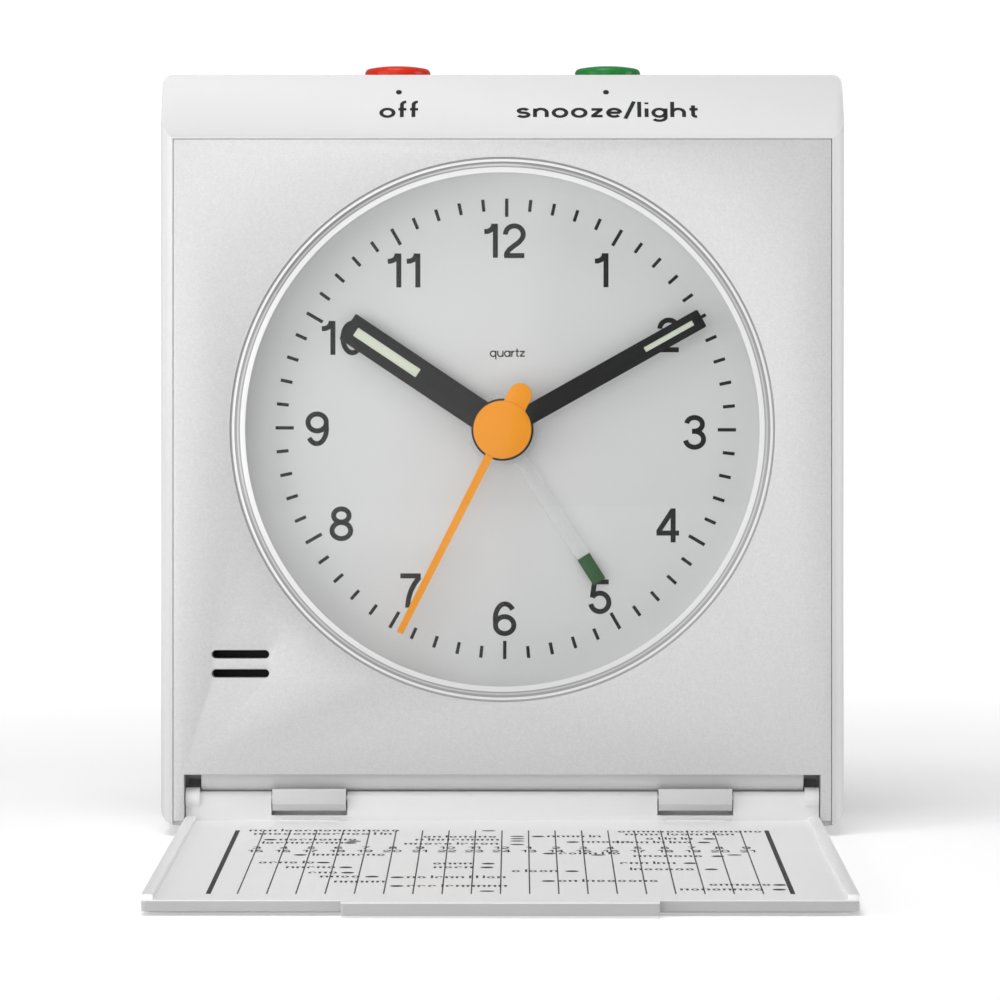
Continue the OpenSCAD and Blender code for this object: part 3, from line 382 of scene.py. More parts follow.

# The bevel's rings. Painted light: bands of colour by their radius stand for light bent in the
# clear edge, and painted shade makes the upper left of the ring darker than the lower right.
bevel = Finish("crystal_bevel", Coat_Weight=0.3, Coat_Roughness=0.1)
here = bevel.spot(UPRIGHT)
across = bevel.node("SeparateXYZ", {}, {"Vector": here}, 0)
up = bevel.node("SeparateXYZ", {}, {"Vector": here}, 2) - DIAL_Z
radius = (across * across + up * up) ** 0.5
# Painted shade: this is largest at the upper left of the ring and darkens every band there.
painted_side_shade = 0.5 + (up - across) / radius * 0.34
tone = 0.80 - 0.12 * painted_side_shade
# Painted light: each band is a ring of painted brightness standing for light bent in the edge, less its
# share of the painted shade.
BANDS = ((26.04, 0.42, 0.16), (26.2, 0.60, 0.20), (26.36, 0.40, 0.20), (26.62, 0.86, 0.12),
         (26.86, 0.42, 0.14))
for r, light, painted_dimming in BANDS:
    step = radius > r
    tone = tone * (1 - step) + step * (light - painted_dimming * painted_side_shade)
painted_light_colour = bevel.node("CombineColor", {}, {"Red": tone, "Green": tone, "Blue": tone})
bevel.set(Base_Color=painted_light_colour, Roughness=0.2 + 0.1 * bevel.noise(bevel.spot(), 1.5))
rim_profile = [(25.52, -0.305), (25.62, -0.29), (26.36, -0.01), (26.6, 0.12), (27.02, 0.16), (27.02, 0.3)]
keep(turned(rim_profile, 256),
     "crystal_rim_painted_light", UPRIGHT, "case", bevel, crease=60, slot="crystal")

# Dial ring. The white wall between crystal and dial. The light guide is a clear acrylic
# block that lets the lamp behind the dial shine through it.
ring_white = moulded("ring_white", (0.88, 0.88, 0.88), 0.35, 0.2, 0.002)
ring_profile = [(25.8, 1.62), (26.0, 1.6), (26.7, 1.6), (26.8, 1.7), (26.8, 2.5), (28.4, 2.5), (28.4, 4.2),
                (25.85, 4.2), (25.8, 4.15), (25.8, 1.62)]
keep(turned(ring_profile), "dial_wall", UPRIGHT, "case", ring_white, replaces=["dial_ring"], slot="shell")
clear_guide = Finish("light_guide_acrylic", Roughness=0.08, Transmission_Weight=0.6, IOR=1.49)
clear_guide.set(Base_Color=clear_guide.mix(clear_guide.noise(clear_guide.spot(), 2),
                                           (0.85, 0.93, 0.94), (0.93, 0.97, 0.97)))
paint(clear_guide, "light_guide")

# Dial. A thin disc sprayed in matt silver, with the minute marks and the figures printed
# in dark grey ink.
dial_silver = Finish("dial_silver", Metallic=0.1)
here = dial_silver.spot()
speck = dial_silver.noise(here, 0.06, 2.0)
sprayed = speck * 0.6 + dial_silver.noise(here, 9, 2.0) * 0.4
dial_silver.set(Base_Color=dial_silver.mix(sprayed, grey(0.69), grey(0.77)),
                Roughness=0.5 + 0.1 * speck)
dial_silver.bump(speck, 0.002)
DIAL_FRONT = 4.25
dial_profile = [(0, DIAL_FRONT), (28.2, DIAL_FRONT), (28.2, 4.6), (2.9, 4.6), (2.9, 4.45), (0, 4.45)]
keep(turned(dial_profile, 128), "dial_disc",
     UPRIGHT, "case", dial_silver, replaces=["dial"], slot="dial")

ink = Finish("dial_ink", Specular_IOR_Level=0.2)
here = ink.spot()
ink.set(Base_Color=ink.mix(ink.noise(here, 0.15, 2.0), (0.012, 0.012, 0.013), (0.024, 0.024, 0.026)),
        Roughness=0.55 + 0.15 * ink.noise(here, 0.3, 2.0))


def bow(cx, cz, rx, rz, start, end, steps=20):
    """Points along part of an ellipse, in degrees anticlockwise from the right."""
    turns = [math.radians(start + (end - start) * i / steps) for i in range(steps + 1)]
    return [(cx + rx * math.cos(t), cz + rz * math.sin(t)) for t in turns]


# Each character is a width and its pen strokes, one unit high and with a round-cornered
# even line, in the manner of a plain grotesque. Small letters hang below or rise above.
SMALL = 0.53
GLYPHS = {
    "0": (0.68, [bow(0.34, 0.5, 0.277, 0.437, 0, 360, 40)]),
    "1": (0.39, [[(0.327, 0), (0.327, 1.0)],
                 [(0.0, 0.77), (0.10, 0.775), (0.19, 0.815), (0.25, 0.88), (0.285, 0.99)]]),
    "2": (0.64, [bow(0.325, 0.69, 0.262, 0.247, 182, -28)
                 + [(0.46, 0.455), (0.30, 0.34), (0.17, 0.235), (0.10, 0.13), (0.085, 0.04)],
                 [(0.025, 0.063), (0.62, 0.063)]]),
    "3": (0.65, [bow(0.325, 0.737, 0.232, 0.2, 172, -80) + [(0.25, 0.53)],
                 [(0.25, 0.53)] + bow(0.325, 0.297, 0.266, 0.234, 82, -172)]),
    "4": (0.68, [[(0.49, 0), (0.49, 1.0)], [(0.475, 0.95), (0.045, 0.295)], [(0.0, 0.275), (0.665, 0.275)]]),
    "5": (0.66, [[(0.15, 0.937), (0.59, 0.937)], [(0.175, 0.97), (0.105, 0.475)],
                 bow(0.325, 0.335, 0.268, 0.272, 146, -170)]),
    "6": (0.68, [bow(0.347, 0.312, 0.27, 0.249, 0, 360, 36), bow(0.357, 0.5, 0.285, 0.437, 38, 195)]),
    "7": (0.64, [[(0.025, 0.937), (0.625, 0.937)],
                 [(0.59, 0.9), (0.45, 0.72), (0.335, 0.5), (0.265, 0.26), (0.235, 0)]]),
    "8": (0.68, [bow(0.34, 0.743, 0.228, 0.194, 0, 360, 32), bow(0.34, 0.3, 0.275, 0.237, 0, 360, 36)]),
    "9": (0.68, [bow(0.333, 0.688, 0.27, 0.249, 0, 360, 36), bow(0.323, 0.5, 0.285, 0.437, 218, 375)]),
    "a": (0.6, [bow(0.29, 0.265, 0.23, 0.235, 0, 360, 28), [(0.53, 0), (0.53, SMALL)]]),
    "e": (0.6, [[(0.06, 0.27), (0.53, 0.27)], bow(0.295, 0.265, 0.235, 0.235, 0, 318)]),
    "f": (0.36, [bow(0.33, 0.76, 0.17, 0.18, 90, 180) + [(0.16, 0)], [(0.02, 0.48), (0.34, 0.48)]]),
    "g": (0.6, [bow(0.29, 0.265, 0.23, 0.235, 0, 360, 28),
                [(0.53, SMALL), (0.53, -0.02)] + bow(0.29, -0.02, 0.24, 0.2, 0, -150)]),
    "h": (0.6, [[(0.07, 0), (0.07, 0.94)], bow(0.295, 0.27, 0.225, 0.23, 180, 0) + [(0.52, 0)]]),
    "i": (0.16, [[(0.08, 0), (0.08, SMALL)], [(0.08, 0.79), (0.08, 0.9)]]),
    "l": (0.16, [[(0.08, 0), (0.08, 0.94)]]),
    "n": (0.6, [[(0.07, 0), (0.07, SMALL)], bow(0.295, 0.27, 0.225, 0.23, 180, 0) + [(0.52, 0)]]),
    "o": (0.62, [bow(0.31, 0.265, 0.245, 0.235, 0, 360, 28)]),
    "q": (0.6, [bow(0.29, 0.265, 0.23, 0.235, 0, 360, 28), [(0.53, SMALL), (0.53, -0.22)]]),
    "r": (0.36, [[(0.07, 0), (0.07, SMALL)], bow(0.3, 0.22, 0.23, 0.27, 175, 85)]),
    "s": (0.52, [bow(0.26, 0.385, 0.18, 0.115, 20, 270, 18) + bow(0.26, 0.145, 0.2, 0.125, 88, -160, 18)]),
    "t": (0.34, [[(0.15, 0.72), (0.15, 0.16)] + bow(0.28, 0.16, 0.13, 0.13, 180, 280),
                 [(0.01, 0.48), (0.33, 0.48)]]),
    "u": (0.6, [[(0.53, 0), (0.53, SMALL)], [(0.08, SMALL)] + bow(0.305, 0.255, 0.225, 0.225, 180, 360)]),
    "z": (0.5, [[(0.04, 0.47), (0.47, 0.47)], [(0.42, 0.47), (0.08, 0.06)], [(0.03, 0.06), (0.47, 0.06)]]),
    "/": (0.34, [[(0.0, -0.1), (0.34, 0.96)]]),
}


def stroke(bm, points, width, put):
    """A flat pen stroke along points, laid with put, which gives each corner its place."""
    points = [p for i, p in enumerate(points) if not i or math.dist(p, points[i - 1]) > 1e-3]
    sides = []
    closed = len(points) > 9 and math.dist(points[0], points[-1]) < 1e-6
    for i, (x, z) in enumerate(points):
        before = points[i - 1] if i else (points[-2] if closed else points[0])
        after = points[i + 1] if i < len(points) - 1 else (points[1] if closed else points[-1])
        dx, dz = after[0] - before[0], after[1] - before[1]
        long = math.hypot(dx, dz)
        widen = 1.0
        if 0 < i < len(points) - 1:
            a = math.atan2(z - before[1], x - before[0])
            b = math.atan2(after[1] - z, after[0] - x)
            widen = 1 / max(0.5, abs(math.cos((b - a) / 2)))
        nx, nz = -dz / long * width / 2 * widen, dx / long * width / 2 * widen
        sides.append((bm.verts.new(put(x + nx, z + nz)), bm.verts.new(put(x - nx, z - nz))))
    for (a, b), (c, d) in zip(sides, sides[1:]):
        bm.faces.new((a, b, d, c))


def figures(text, height, middle, front, stretch=1.0, flip=1, line=0.148, gap=0.17):
    """Printed characters standing upright on a face; height is that of a figure, in mm."""
    bm = bmesh.new()
    total = sum(GLYPHS[c][0] for c in text) + gap * (len(text) - 1)
    at = -total / 2
    for c in text:
        for points in GLYPHS[c][1]:
            stroke(bm, points, line, lambda x, z: (middle[0] + (at + x) * height * stretch, front,
                                                   middle[1] + flip * (z - 0.5) * height))
        at += GLYPHS[c][0] + gap
    return bm


def joined(parts):
    """Several printed marks as one mesh."""
    whole = bmesh.new()
    for part in parts:
        mesh = bpy.data.meshes.new("part")
        part.to_mesh(mesh)
        part.free()
        whole.from_mesh(mesh)
        bpy.data.meshes.remove(mesh)
    return whole


def mark(width, inner, outer, angle, front):
    """A printed stroke along a radius of the dial."""
    bar = [(-width / 2, inner), (width / 2, inner), (width / 2, outer), (-width / 2, outer)]
    spot = Matrix.Rotation(math.radians(-angle), 2)
    turned_bar = [spot @ Vector(p) for p in bar]
    bm = bmesh.new()
    bm.faces.new([bm.verts.new((p.x, front, DIAL_Z + p.y)) for p in turned_bar])
    return bm


PRINT_LIFT = 0.012
PRINT = DIAL_FRONT - PRINT_LIFT
PRINT_AT, PRINT_TURN = (0.33, 0.12), 0.25
MARKS_OUTER, MINUTE_MARK, FIVE_MINUTE_MARK = 23.04, (0.33, 1.2), (0.34, 1.83)
marks = []
for minute in range(60):
    mark_width, mark_length = MINUTE_MARK if minute % 5 else FIVE_MINUTE_MARK
    marks.append(mark(mark_width, MARKS_OUTER - mark_length, MARKS_OUTER, minute * 6, PRINT))
for mark_bm in marks:
    turn_about_dial(mark_bm, PRINT_TURN)
    bmesh.ops.translate(mark_bm, verts=mark_bm.verts, vec=(PRINT_AT[0], 0, PRINT_AT[1]))
FIGURE_PLACES = [(9.58, 15.87), (16.3, 9.4), (18.89, -0.35), (16.24, -9.66), (9.43, -16.8), (-0.13, -19.0),
                 (-9.54, -16.2), (-16.45, -9.5), (-18.85, 0.0), (-16.3, 9.1), (-10.2, 15.85), (-0.11, 18.82)]
for hour, (x, z) in enumerate(FIGURE_PLACES, 1):
    marks.append(figures(str(hour), 3.4, (PRINT_AT[0] + x, DIAL_Z + PRINT_AT[1] + z), PRINT))
marks.append(figures("quartz", 1.14, (0.5, DIAL_Z + 7.9), PRINT, line=0.115, gap=0.02))
keep(joined(marks), "dial_print", UPRIGHT, "case", ink, slot="hand_black")

# Hands. Pressed brass, painted: satin black for hours and minutes with a slot filled with
# pale green luminous paste, orange for seconds, and clear plastic for the alarm hand.
hand_black = Finish("hand_black", Coat_Weight=0.03, Coat_Roughness=0.3, Specular_IOR_Level=0.2)
here = hand_black.spot()
hand_black.set(Base_Color=hand_black.mix(hand_black.noise(here, 0.2, 3.0), grey(0.005), grey(0.012)),
               Roughness=0.42 + 0.12 * hand_black.noise(here, 0.5, 2.0))
lume = Finish("luminous_paste")
here = lume.spot()
lume.set(Base_Color=lume.mix(lume.noise(here, 0.12, 3.0), (0.66, 0.72, 0.56), (0.76, 0.80, 0.66)),
         Roughness=0.7 + 0.1 * lume.noise(here, 0.2, 2.0))
lume.bump(lume.noise(here, 0.1, 3.0), 0.01)


def bar_outline(length, width, hub, corner):
    """A straight hand with a round hub, as one outline."""
    start = math.degrees(math.asin(width / 2 / hub))
    half = width / 2
    top = DIAL_Z + length
    return (arc(0, DIAL_Z, hub, 90 + start, 450 - start, 40)
            + arc(half - corner, top - corner, corner, 0, 90, 5)
            + arc(corner - half, top - corner, corner, 90, 180, 5))


def window(length, width, tip, size):
    top = DIAL_Z + length - tip
    return [(-width / 2, top - size), (width / 2, top - size), (width / 2, top), (-width / 2, top)]


for name, body, length, width, hub, corner, lume_width, tip, lume_length, front, angle in (
        ("hour", "hours", 18.6, 3.0, 3.0, 0.12, 0.95, 0.97, 7.5, 2.7, 303.8),
        ("minute", "minutes", 22.8, 1.95, 3.1, 0.2, 0.52, 1.02, 5.5, 2.0, 60.7)):
    filling = window(length, lume_width, tip, lume_length)
    keep(plate([bar_outline(length, width, hub, corner), filling], front, front + 0.3, 0.05, turn=angle),
         name + "_hand_blade", UPRIGHT, body, hand_black, replaces=[name + "_hand"], slot="hand_black")
    keep(plate([filling], front + 0.05, front + 0.25, turn=angle),
         name + "_paste", UPRIGHT, body, lume, replaces=[name + "_lume"], slot="lume")

orange = Finish("hand_orange", Coat_Weight=0.05, Coat_Roughness=0.2, Specular_IOR_Level=0.15)
here = orange.spot()
orange.set(Base_Color=orange.mix(orange.noise(here, 0.5, 3.0), (0.93, 0.32, 0.003), (0.97, 0.36, 0.008)),
           Roughness=0.38 + 0.1 * orange.noise(here, 0.4, 2.0))
orange.bump(orange.noise(here, 0.15, 2.0), 0.002)
SECOND_Y, HUB, TAIL, TAIL_AT = 1.35, 2.9, 1.18, 3.87
SECOND_TURN, SECOND_BACK = 206.8, SECOND_Y + 0.28
needle_end = DIAL_Z + 22.66
needle = ([(0.42, DIAL_Z + 1), (0.34, needle_end)] + arc(0, needle_end, 0.34, 0, 180, 8)
          + [(-0.42, DIAL_Z + 1)])
tail = arc(0, DIAL_Z - TAIL_AT, TAIL, 180, 360, 16) + [(TAIL, DIAL_Z), (-TAIL, DIAL_Z)]
hub_profile = [(0, SECOND_Y - 0.2), (HUB - 0.2, SECOND_Y - 0.2), (HUB - 0.06, SECOND_Y - 0.14),
               (HUB, SECOND_Y), (HUB, SECOND_BACK), (0, SECOND_BACK)]
second = joined([plate([needle], SECOND_Y, SECOND_BACK, 0.06, turn=SECOND_TURN),
                 plate([tail], SECOND_Y, SECOND_BACK, 0.06, turn=SECOND_TURN), turned(hub_profile, 96)])
keep(second, "second_needle", UPRIGHT, "seconds", orange, replaces=["second_hand"], slot="hand_orange")

clear_hand = Finish("alarm_clear", Roughness=0.12, Alpha=0.25, IOR=1.49)
clear_hand.set(Base_Color=clear_hand.mix(clear_hand.noise(clear_hand.spot(), 3),
                                         (0.9, 0.92, 0.92), (0.96, 0.97, 0.97)))
ALARM_Y, ALARM_TURN = 3.4, 147.4
keep(plate([bar_outline(15, 1.42, 3.5, 0.02)], ALARM_Y, ALARM_Y + 0.28, 0.05, turn=ALARM_TURN),
     "alarm_pointer", UPRIGHT, "alarm", clear_hand, replaces=["alarm_hand"], slot="alarm_clear")
alarm_green = Finish("alarm_green", Coat_Weight=0.1)
here = alarm_green.spot()
alarm_green.set(Base_Color=alarm_green.mix(alarm_green.noise(here, 0.3, 2.0),
                                           (0.0, 0.07, 0.003), (0.002, 0.09, 0.006)),
                Roughness=0.4 + 0.1 * alarm_green.noise(here, 0.4, 2.0))
tip = [(-0.71, DIAL_Z + 15), (0.71, DIAL_Z + 15), (0.71, DIAL_Z + 18), (-0.71, DIAL_Z + 18)]
keep(plate([tip], ALARM_Y - 0.02, ALARM_Y + 0.28, 0.04, turn=ALARM_TURN), "alarm_pointer_tip",
     UPRIGHT, "alarm", alarm_green, replaces=["alarm_tip"], slot="alarm_green")

# Lid. A thin plate with a rim down each side and a finger tab, turned up at the hinge end
# into a flange that rolls round the pins. It is the clock's foot when it is open. Its edges
# are painted darker than its faces as painted shade, and its front edge slopes in a little
# towards the table.
lid_white = moulded("lid_white", (0.84, 0.84, 0.84), 0.36, Coat_Weight=0.12, Coat_Roughness=0.3)
shut_spot = lid_white.node("SeparateXYZ", {}, {"Vector": lid_white.spot(FOLDED_DOWN)}, 1)
# Painted shade: the band through the lid's thickness, its edges, is coloured about half as bright as its
# faces.
painted_shade_edges = (shut_spot < -0.56) * (shut_spot > -1.7)
lid_white.set(Base_Color=lid_white.mix(lid_white.noise(lid_white.spot(), 18, 1.0),
                                       lid_white.mix(painted_shade_edges, grey(0.825), grey(0.44)),
                                       lid_white.mix(painted_shade_edges, grey(0.855), grey(0.48))))
lid_piece = eased("lid_shell", 0.1, lid_white, "lid", "shell")
shut = FOLDED_DOWN.inverted()
EDGE_SLOPE, SLOPE_FROM, SLOPE_DEPTH = 0.45, -1.0, 0.85
for corner in lid_piece.data.vertices:
    place = shut @ corner.co
    if place.z > 60 and place.y < SLOPE_FROM:
        cut_back = EDGE_SLOPE * (SLOPE_FROM - place.y) / SLOPE_DEPTH
        corner.co = FOLDED_DOWN @ Vector((place.x, place.y, place.z - cut_back))

# Lid print. A world-time chart: hour lines, two rows of hour figures and rows of plain
# rings, arches and bars that spell nothing, some with the round mark of their hour line.
LID_INSIDE = -0.45 + PRINT_LIFT
FLANGE = 3.38
chart_ink = Finish("chart_ink", Specular_IOR_Level=0.2)
here = chart_ink.spot()
chart_ink.set(Base_Color=chart_ink.mix(chart_ink.noise(here, 0.2, 2.0),
                                       (0.015, 0.015, 0.016), (0.035, 0.035, 0.036)),
              Roughness=0.5 + 0.15 * chart_ink.noise(here, 0.3, 2.0))


def patch(x0, x1, z0, z1):
    bm = bmesh.new()
    corners = ((x0, z0), (x0, z1), (x1, z1), (x1, z0))
    bm.faces.new([bm.verts.new((x, LID_INSIDE, z)) for x, z in corners])
    return bm


STEP = 2.585
chart = []
for i in range(21):
    x = (i - 10) * STEP
    half = 0.22 if i in (0, 20) else 0.06
    chart.append(patch(x - half, x + half, FLANGE + 9.1, FLANGE + 60.6))
    if 0 < i < 20:
        for row, number in ((23.6, (i + 1) % 12 + 1), (26.4, (i + 1) % 12 + 13)):
            chart.append(figures(str(number), 1.9, (x, FLANGE + row + 0.6), LID_INSIDE + 0.002,
                                 0.62, flip=-1))

# Each row: left end, right end, distance from the flange, and the side of its round mark.
ROWS = [(-24.7, -9.8, 9.9, 0), (-24.1, -10.1, 12.9, 0), (11.3, 25.4, 10.8, 0), (12.0, 23.1, 13.3, 0),
        (-7.6, 0.1, 15.4, 0), (-8.3, 0.1, 18.0, 0), (-9.3, 0.1, 21.5, 0), (4.4, 9.8, 15.0, -1),
        (7.7, 12.7, 19.9, -1), (-21.4, -13.8, 17.9, -1), (-23.2, -15.4, 20.7, 1), (-18.0, -10.6, 30.8, -1),
        (5.4, 11.3, 29.6, -1), (13.9, 19.1, 17.1, 1), (10.8, 18.5, 20.2, 1), (12.4, 19.4, 31.8, 1),
        (-22.5, -17.4, 37.1, 1), (-19.8, -15.2, 40.9, 1), (-6.3, -2.1, 37.9, 1), (-6.2, -2.2, 40.9, 1),
        (11.0, 16.6, 37.5, 1), (11.6, 18.4, 42.4, 1), (1.0, 5.6, 43.9, 1), (-17.6, -14.9, 45.1, 1),
        (-16.4, -12.6, 48.2, 1), (-15.0, -10.3, 52.1, 0), (-8.5, 1.0, 48.7, -1), (-8.4, 0.7, 55.3, -1),
        (5.2, 14.4, 51.5, -1), (18.7, 24.1, 54.4, 1), (16.0, 23.9, 57.9, 1)]
chance = random.Random(7)


def filler(bm, start, end, down):
    """A row of plain rings, arches and bars that stands for a printed word."""
    x = start
    while x < end - 0.5:
        kind = chance.choice("oonnnlc")
        put = lambda u, v: (x + u, LID_INSIDE, down - v)
        if kind == "l":
            stroke(bm, [(0.35, 0), (0.35, 2.0)], 0.2, put)
        elif kind == "n":
            stroke(bm, [(0.1, 0), (0.1, 1.25), (0.62, 1.25), (0.62, 0)], 0.2, put)
        else:
            stroke(bm, bow(0.36, 0.62, 0.27, 0.6, 0, 360 if kind == "o" else 250, 10), 0.2, put)
        x += 0.62 if kind == "l" else 0.95


def oval(bm, x, down, wide, deep):
    """A printed round mark on the lid."""
    bm.faces.new([bm.verts.new((x + dx, LID_INSIDE, FLANGE + down + dz))
                  for dx, dz in bow(0, 0, wide, deep, 330, 0, 12)])


words = bmesh.new()
for start, end, down, side in ROWS:
    filler(words, start, end, FLANGE + down)
    if side:
        oval(words, start - 0.9 if side < 0 else end + 0.9, down - 0.6, 0.62, 0.62)
LOOSE_MARKS = [(1.5, 14.4), (1.5, 16.4), (1.5, 18.4), (1.5, 21.4), (-14.2, 18.6), (9.1, 30.2),
               (21.9, 30.2), (-1.3, 9.4), (-1.2, 58.5)]
for x, down in LOOSE_MARKS:
    oval(words, x, down, 0.7, 0.45)
chart.append(words)
keep(joined(chart), "lid_chart", FOLDED_DOWN, "lid", chart_ink, slot="hand_black")

# Push buttons. Two crowned caps in coloured ABS, each with a flange that keeps it in.
BUTTON_X, BUTTON_Y, BUTTON_R, CASE_TOP = 10.6, 9.8, 3.3, 75
PROUD = 1.2


def glossy(name, low, high):
    finish = Finish(name, Coat_Weight=0.08, Coat_Roughness=0.1, Specular_IOR_Level=0.2)
    here = finish.spot()
    finish.set(Base_Color=finish.mix(finish.noise(here, 2.5, 2.0), low, high),
               Roughness=0.22 + 0.08 * finish.noise(here, 1.2, 3.0))
    return finish.bump(finish.noise(here, 0.2, 2.0), 0.002)


def button(x, name, node, body, finish, slot):
    top = CASE_TOP + PROUD
    profile = [(0, top), (0.9, top - 0.02), (1.8, top - 0.09), (2.5, top - 0.19)]
    profile += [(BUTTON_R - 0.5 + 0.5 * math.sin(math.radians(a)),
                 top - 0.75 + 0.5 * math.cos(math.radians(a))) for a in range(0, 91, 10)]
    profile += [(BUTTON_R, 73.5), (3.9, 73.5), (3.9, 72.6), (1, 72.6), (1, 70.75), (0, 70.75)]
    bm = bmesh.new()
    points = [bm.verts.new((r, 0, z)) for r, z in profile]
    edges = [bm.edges.new(pair) for pair in zip(points, points[1:])]
    bmesh.ops.spin(bm, geom=points + edges, cent=(0, 0, 0), axis=(0, 0, 1), dvec=(0, 0, 0),
                   angle=2 * math.pi, steps=96, use_merge=True, use_duplicate=False)
    bmesh.ops.remove_doubles(bm, verts=bm.verts, dist=1e-4)
    bmesh.ops.recalc_face_normals(bm, faces=bm.faces)
    bmesh.ops.translate(bm, verts=bm.verts, vec=(x, BUTTON_Y, 0))
    keep(bm, name, UPRIGHT, body, finish, replaces=[node], slot=slot)


red_cap = glossy("red_cap", (0.66, 0.02, 0.006), (0.74, 0.035, 0.010))
button(-BUTTON_X, "off_cap", "off_button", "alarm_off", red_cap, "red_button")
green_cap = glossy("green_cap", (0.012, 0.20, 0.035), (0.02, 0.24, 0.05))
button(BUTTON_X, "snooze_cap", "snooze_button", "snooze", green_cap, "green_button")

# Button labels. Plain words that say what each button does, and a dot under it, printed
# in dark ink on the sloping strip.
SLOPE = math.atan2(5.0, 6.6)
STRIP_FOOT = 68.4


def on_slope(bm):
    """Moves flat print, drawn with Z as the distance up the slope, onto the sloping strip."""
    bmesh.ops.rotate(bm, verts=bm.verts, cent=(0, 0, 0), matrix=Matrix.Rotation(-SLOPE, 3, "X"))
    bmesh.ops.translate(bm, verts=bm.verts, vec=(0, -PRINT_LIFT * math.cos(SLOPE),
                                                 STRIP_FOOT + PRINT_LIFT * math.sin(SLOPE)))
    return bm


LENGTH_UP = 1 / math.cos(SLOPE)
LABEL_UP, LABEL_TALL = 2.98 * LENGTH_UP, 2.15
labels = [figures("off", LABEL_TALL, (-10.3, LABEL_UP), 0, 1.17, line=0.155, gap=0.1),
          figures("snooze/light", LABEL_TALL, (10.45, LABEL_UP), 0, 1.205, line=0.155, gap=0.12)]
for x in (-10.35, 10.35):
    dot = bmesh.new()
    bmesh.ops.create_circle(dot, cap_ends=True, radius=0.3, segments=20,
                            matrix=Matrix.Rotation(math.pi / 2, 4, "X"))
    bmesh.ops.translate(dot, verts=dot.verts, vec=(x, 0, 4.75 * LENGTH_UP))
    labels.append(dot)
keep(on_slope(joined(labels)), "button_labels", UPRIGHT, "case", ink, slot="hand_black")

# Rear case and battery door, moulded like the front in silver-white ABS with a fine
# grain, and the two grey setting knobs that stand in their dishes.
eased("rear_case", 0.14, shell_white, "case", "shell")
eased("battery_door", 0.1, shell_white, "door", "shell")
knob_grey = moulded("knob_grey", (0.62, 0.62, 0.63), 0.42, 0.1, 0.004)
eased("time_knob", 0.08, knob_grey, "time_setter", "knob_plastic")
eased("alarm_knob", 0.08, knob_grey, "alarm_setter", "knob_plastic")

# Rear marks. A turning arrow over each knob, a small clock hand mark for the time and a
# bell for the alarm, and a sliding arrow on the battery door, printed in grey ink.
REAR, DOOR_Z = 21 + PRINT_LIFT, 12.6
rear_ink = moulded("rear_ink", (0.10, 0.10, 0.105), 0.5, 0.2, 0.002, 0.08)


def rear_mark(points, width, x, z):
    """A printed line on the back, drawn as it is seen from behind."""
    bm = bmesh.new()
    stroke(bm, points, width, lambda u, v: (x - u, REAR, z + v))
    return bm


def arrow(r, start, end, x, z):
    """A curved arrow around a knob, in degrees anticlockwise as seen from behind."""
    tip = math.radians(end)
    head = [(r * math.cos(tip) + 0.9 * math.cos(tip + a), r * math.sin(tip) + 0.9 * math.sin(tip + a))
            for a in (0.0, math.pi)]
    nose = (r * math.cos(tip) - 1.3 * math.sin(tip) * math.copysign(1, end - start),
            r * math.sin(tip) + 1.3 * math.cos(tip) * math.copysign(1, end - start))
    return [rear_mark(bow(0, 0, r, r, start, end, 24), 0.35, x, z),
            rear_mark([head[0], nose, head[1]], 0.35, x, z)]


rear_marks = []
for x in (-12, 12):
    rear_marks += arrow(7.6, 130, 55, x, DIAL_Z)
clock_mark = [rear_mark(bow(0, 0, 1.5, 1.5, 0, 360, 28), 0.3, -12, DIAL_Z + 11.5),
              rear_mark([(0, 1.0), (0, 0), (0.75, 0.45)], 0.3, -12, DIAL_Z + 11.5)]
bell = ([(-1.5, -0.9), (-1.05, -0.4)] + bow(0, 0.35, 1.05, 1.05, 180, 0, 14)
        + [(1.05, -0.4), (1.5, -0.9), (-1.5, -0.9)])
bell_mark = [rear_mark(bell, 0.3, 12, DIAL_Z + 11.6),
             rear_mark([(0, -1.0), (0, -1.45)], 0.4, 12, DIAL_Z + 11.6)]
keep(joined(rear_marks + clock_mark + bell_mark), "rear_marks", UPRIGHT, "case", rear_ink,
     crease=60, slot="hand_black")
door_arrow = [rear_mark([(0, 1.4), (0, -1.2)], 0.35, 0, DOOR_Z - 1.2),
              rear_mark([(-0.9, -0.4), (0, -1.4), (0.9, -0.4)], 0.35, 0, DOOR_Z - 1.2)]
polarity = [rear_mark([(-0.9, 0), (0.9, 0)], 0.35, -20, DOOR_Z),
            rear_mark([(0, -0.9), (0, 0.9)], 0.35, -20, DOOR_Z),
            rear_mark([(-0.9, 0), (0.9, 0)], 0.35, 20, DOOR_Z)]
keep(joined(door_arrow + polarity), "door_marks", UPRIGHT, "door", rear_ink, crease=60, slot="hand_black")

# Steel parts: screws, hinge pins, springs, battery contacts and the can of the timing
# crystal, all in bright steel with fine drawing marks.
steel = Finish("bright_steel", Metallic=1.0)
here = steel.spot()
steel.set(Base_Color=steel.mix(steel.noise(here, 1.5, 3.0), (0.55, 0.55, 0.56), (0.68, 0.68, 0.69)),
          Roughness=0.24 + 0.16 * steel.noise(here, 0.3, 3.0))
steel.bump(steel.noise(here, 0.08, 2.0), 0.002)
paint(steel, "case_screws", "movement_screws", "hinge_pins", "detent_springs", "battery_spring",
      "battery_contact", "timing_crystal")

# Sound outlet: a black woven dust gauze behind the two slots, which keeps dust off the
# sounder.
gauze = Finish("dust_gauze")
here = gauze.spot(UPRIGHT)
weave = gauze.node("TexWave", {"wave_type": "BANDS", "bands_direction": "X"}, {"Vector": here, "Scale": 1.6})
cross = gauze.node("TexWave", {"wave_type": "BANDS", "bands_direction": "Z"}, {"Vector": here, "Scale": 1.6})
gauze.set(Base_Color=gauze.mix(weave * cross, grey(0.004), grey(0.02)), Roughness=0.7 + 0.2 * weave)
gauze.bump(weave * cross, 0.03)
paint(gauze, "sound_gauze")

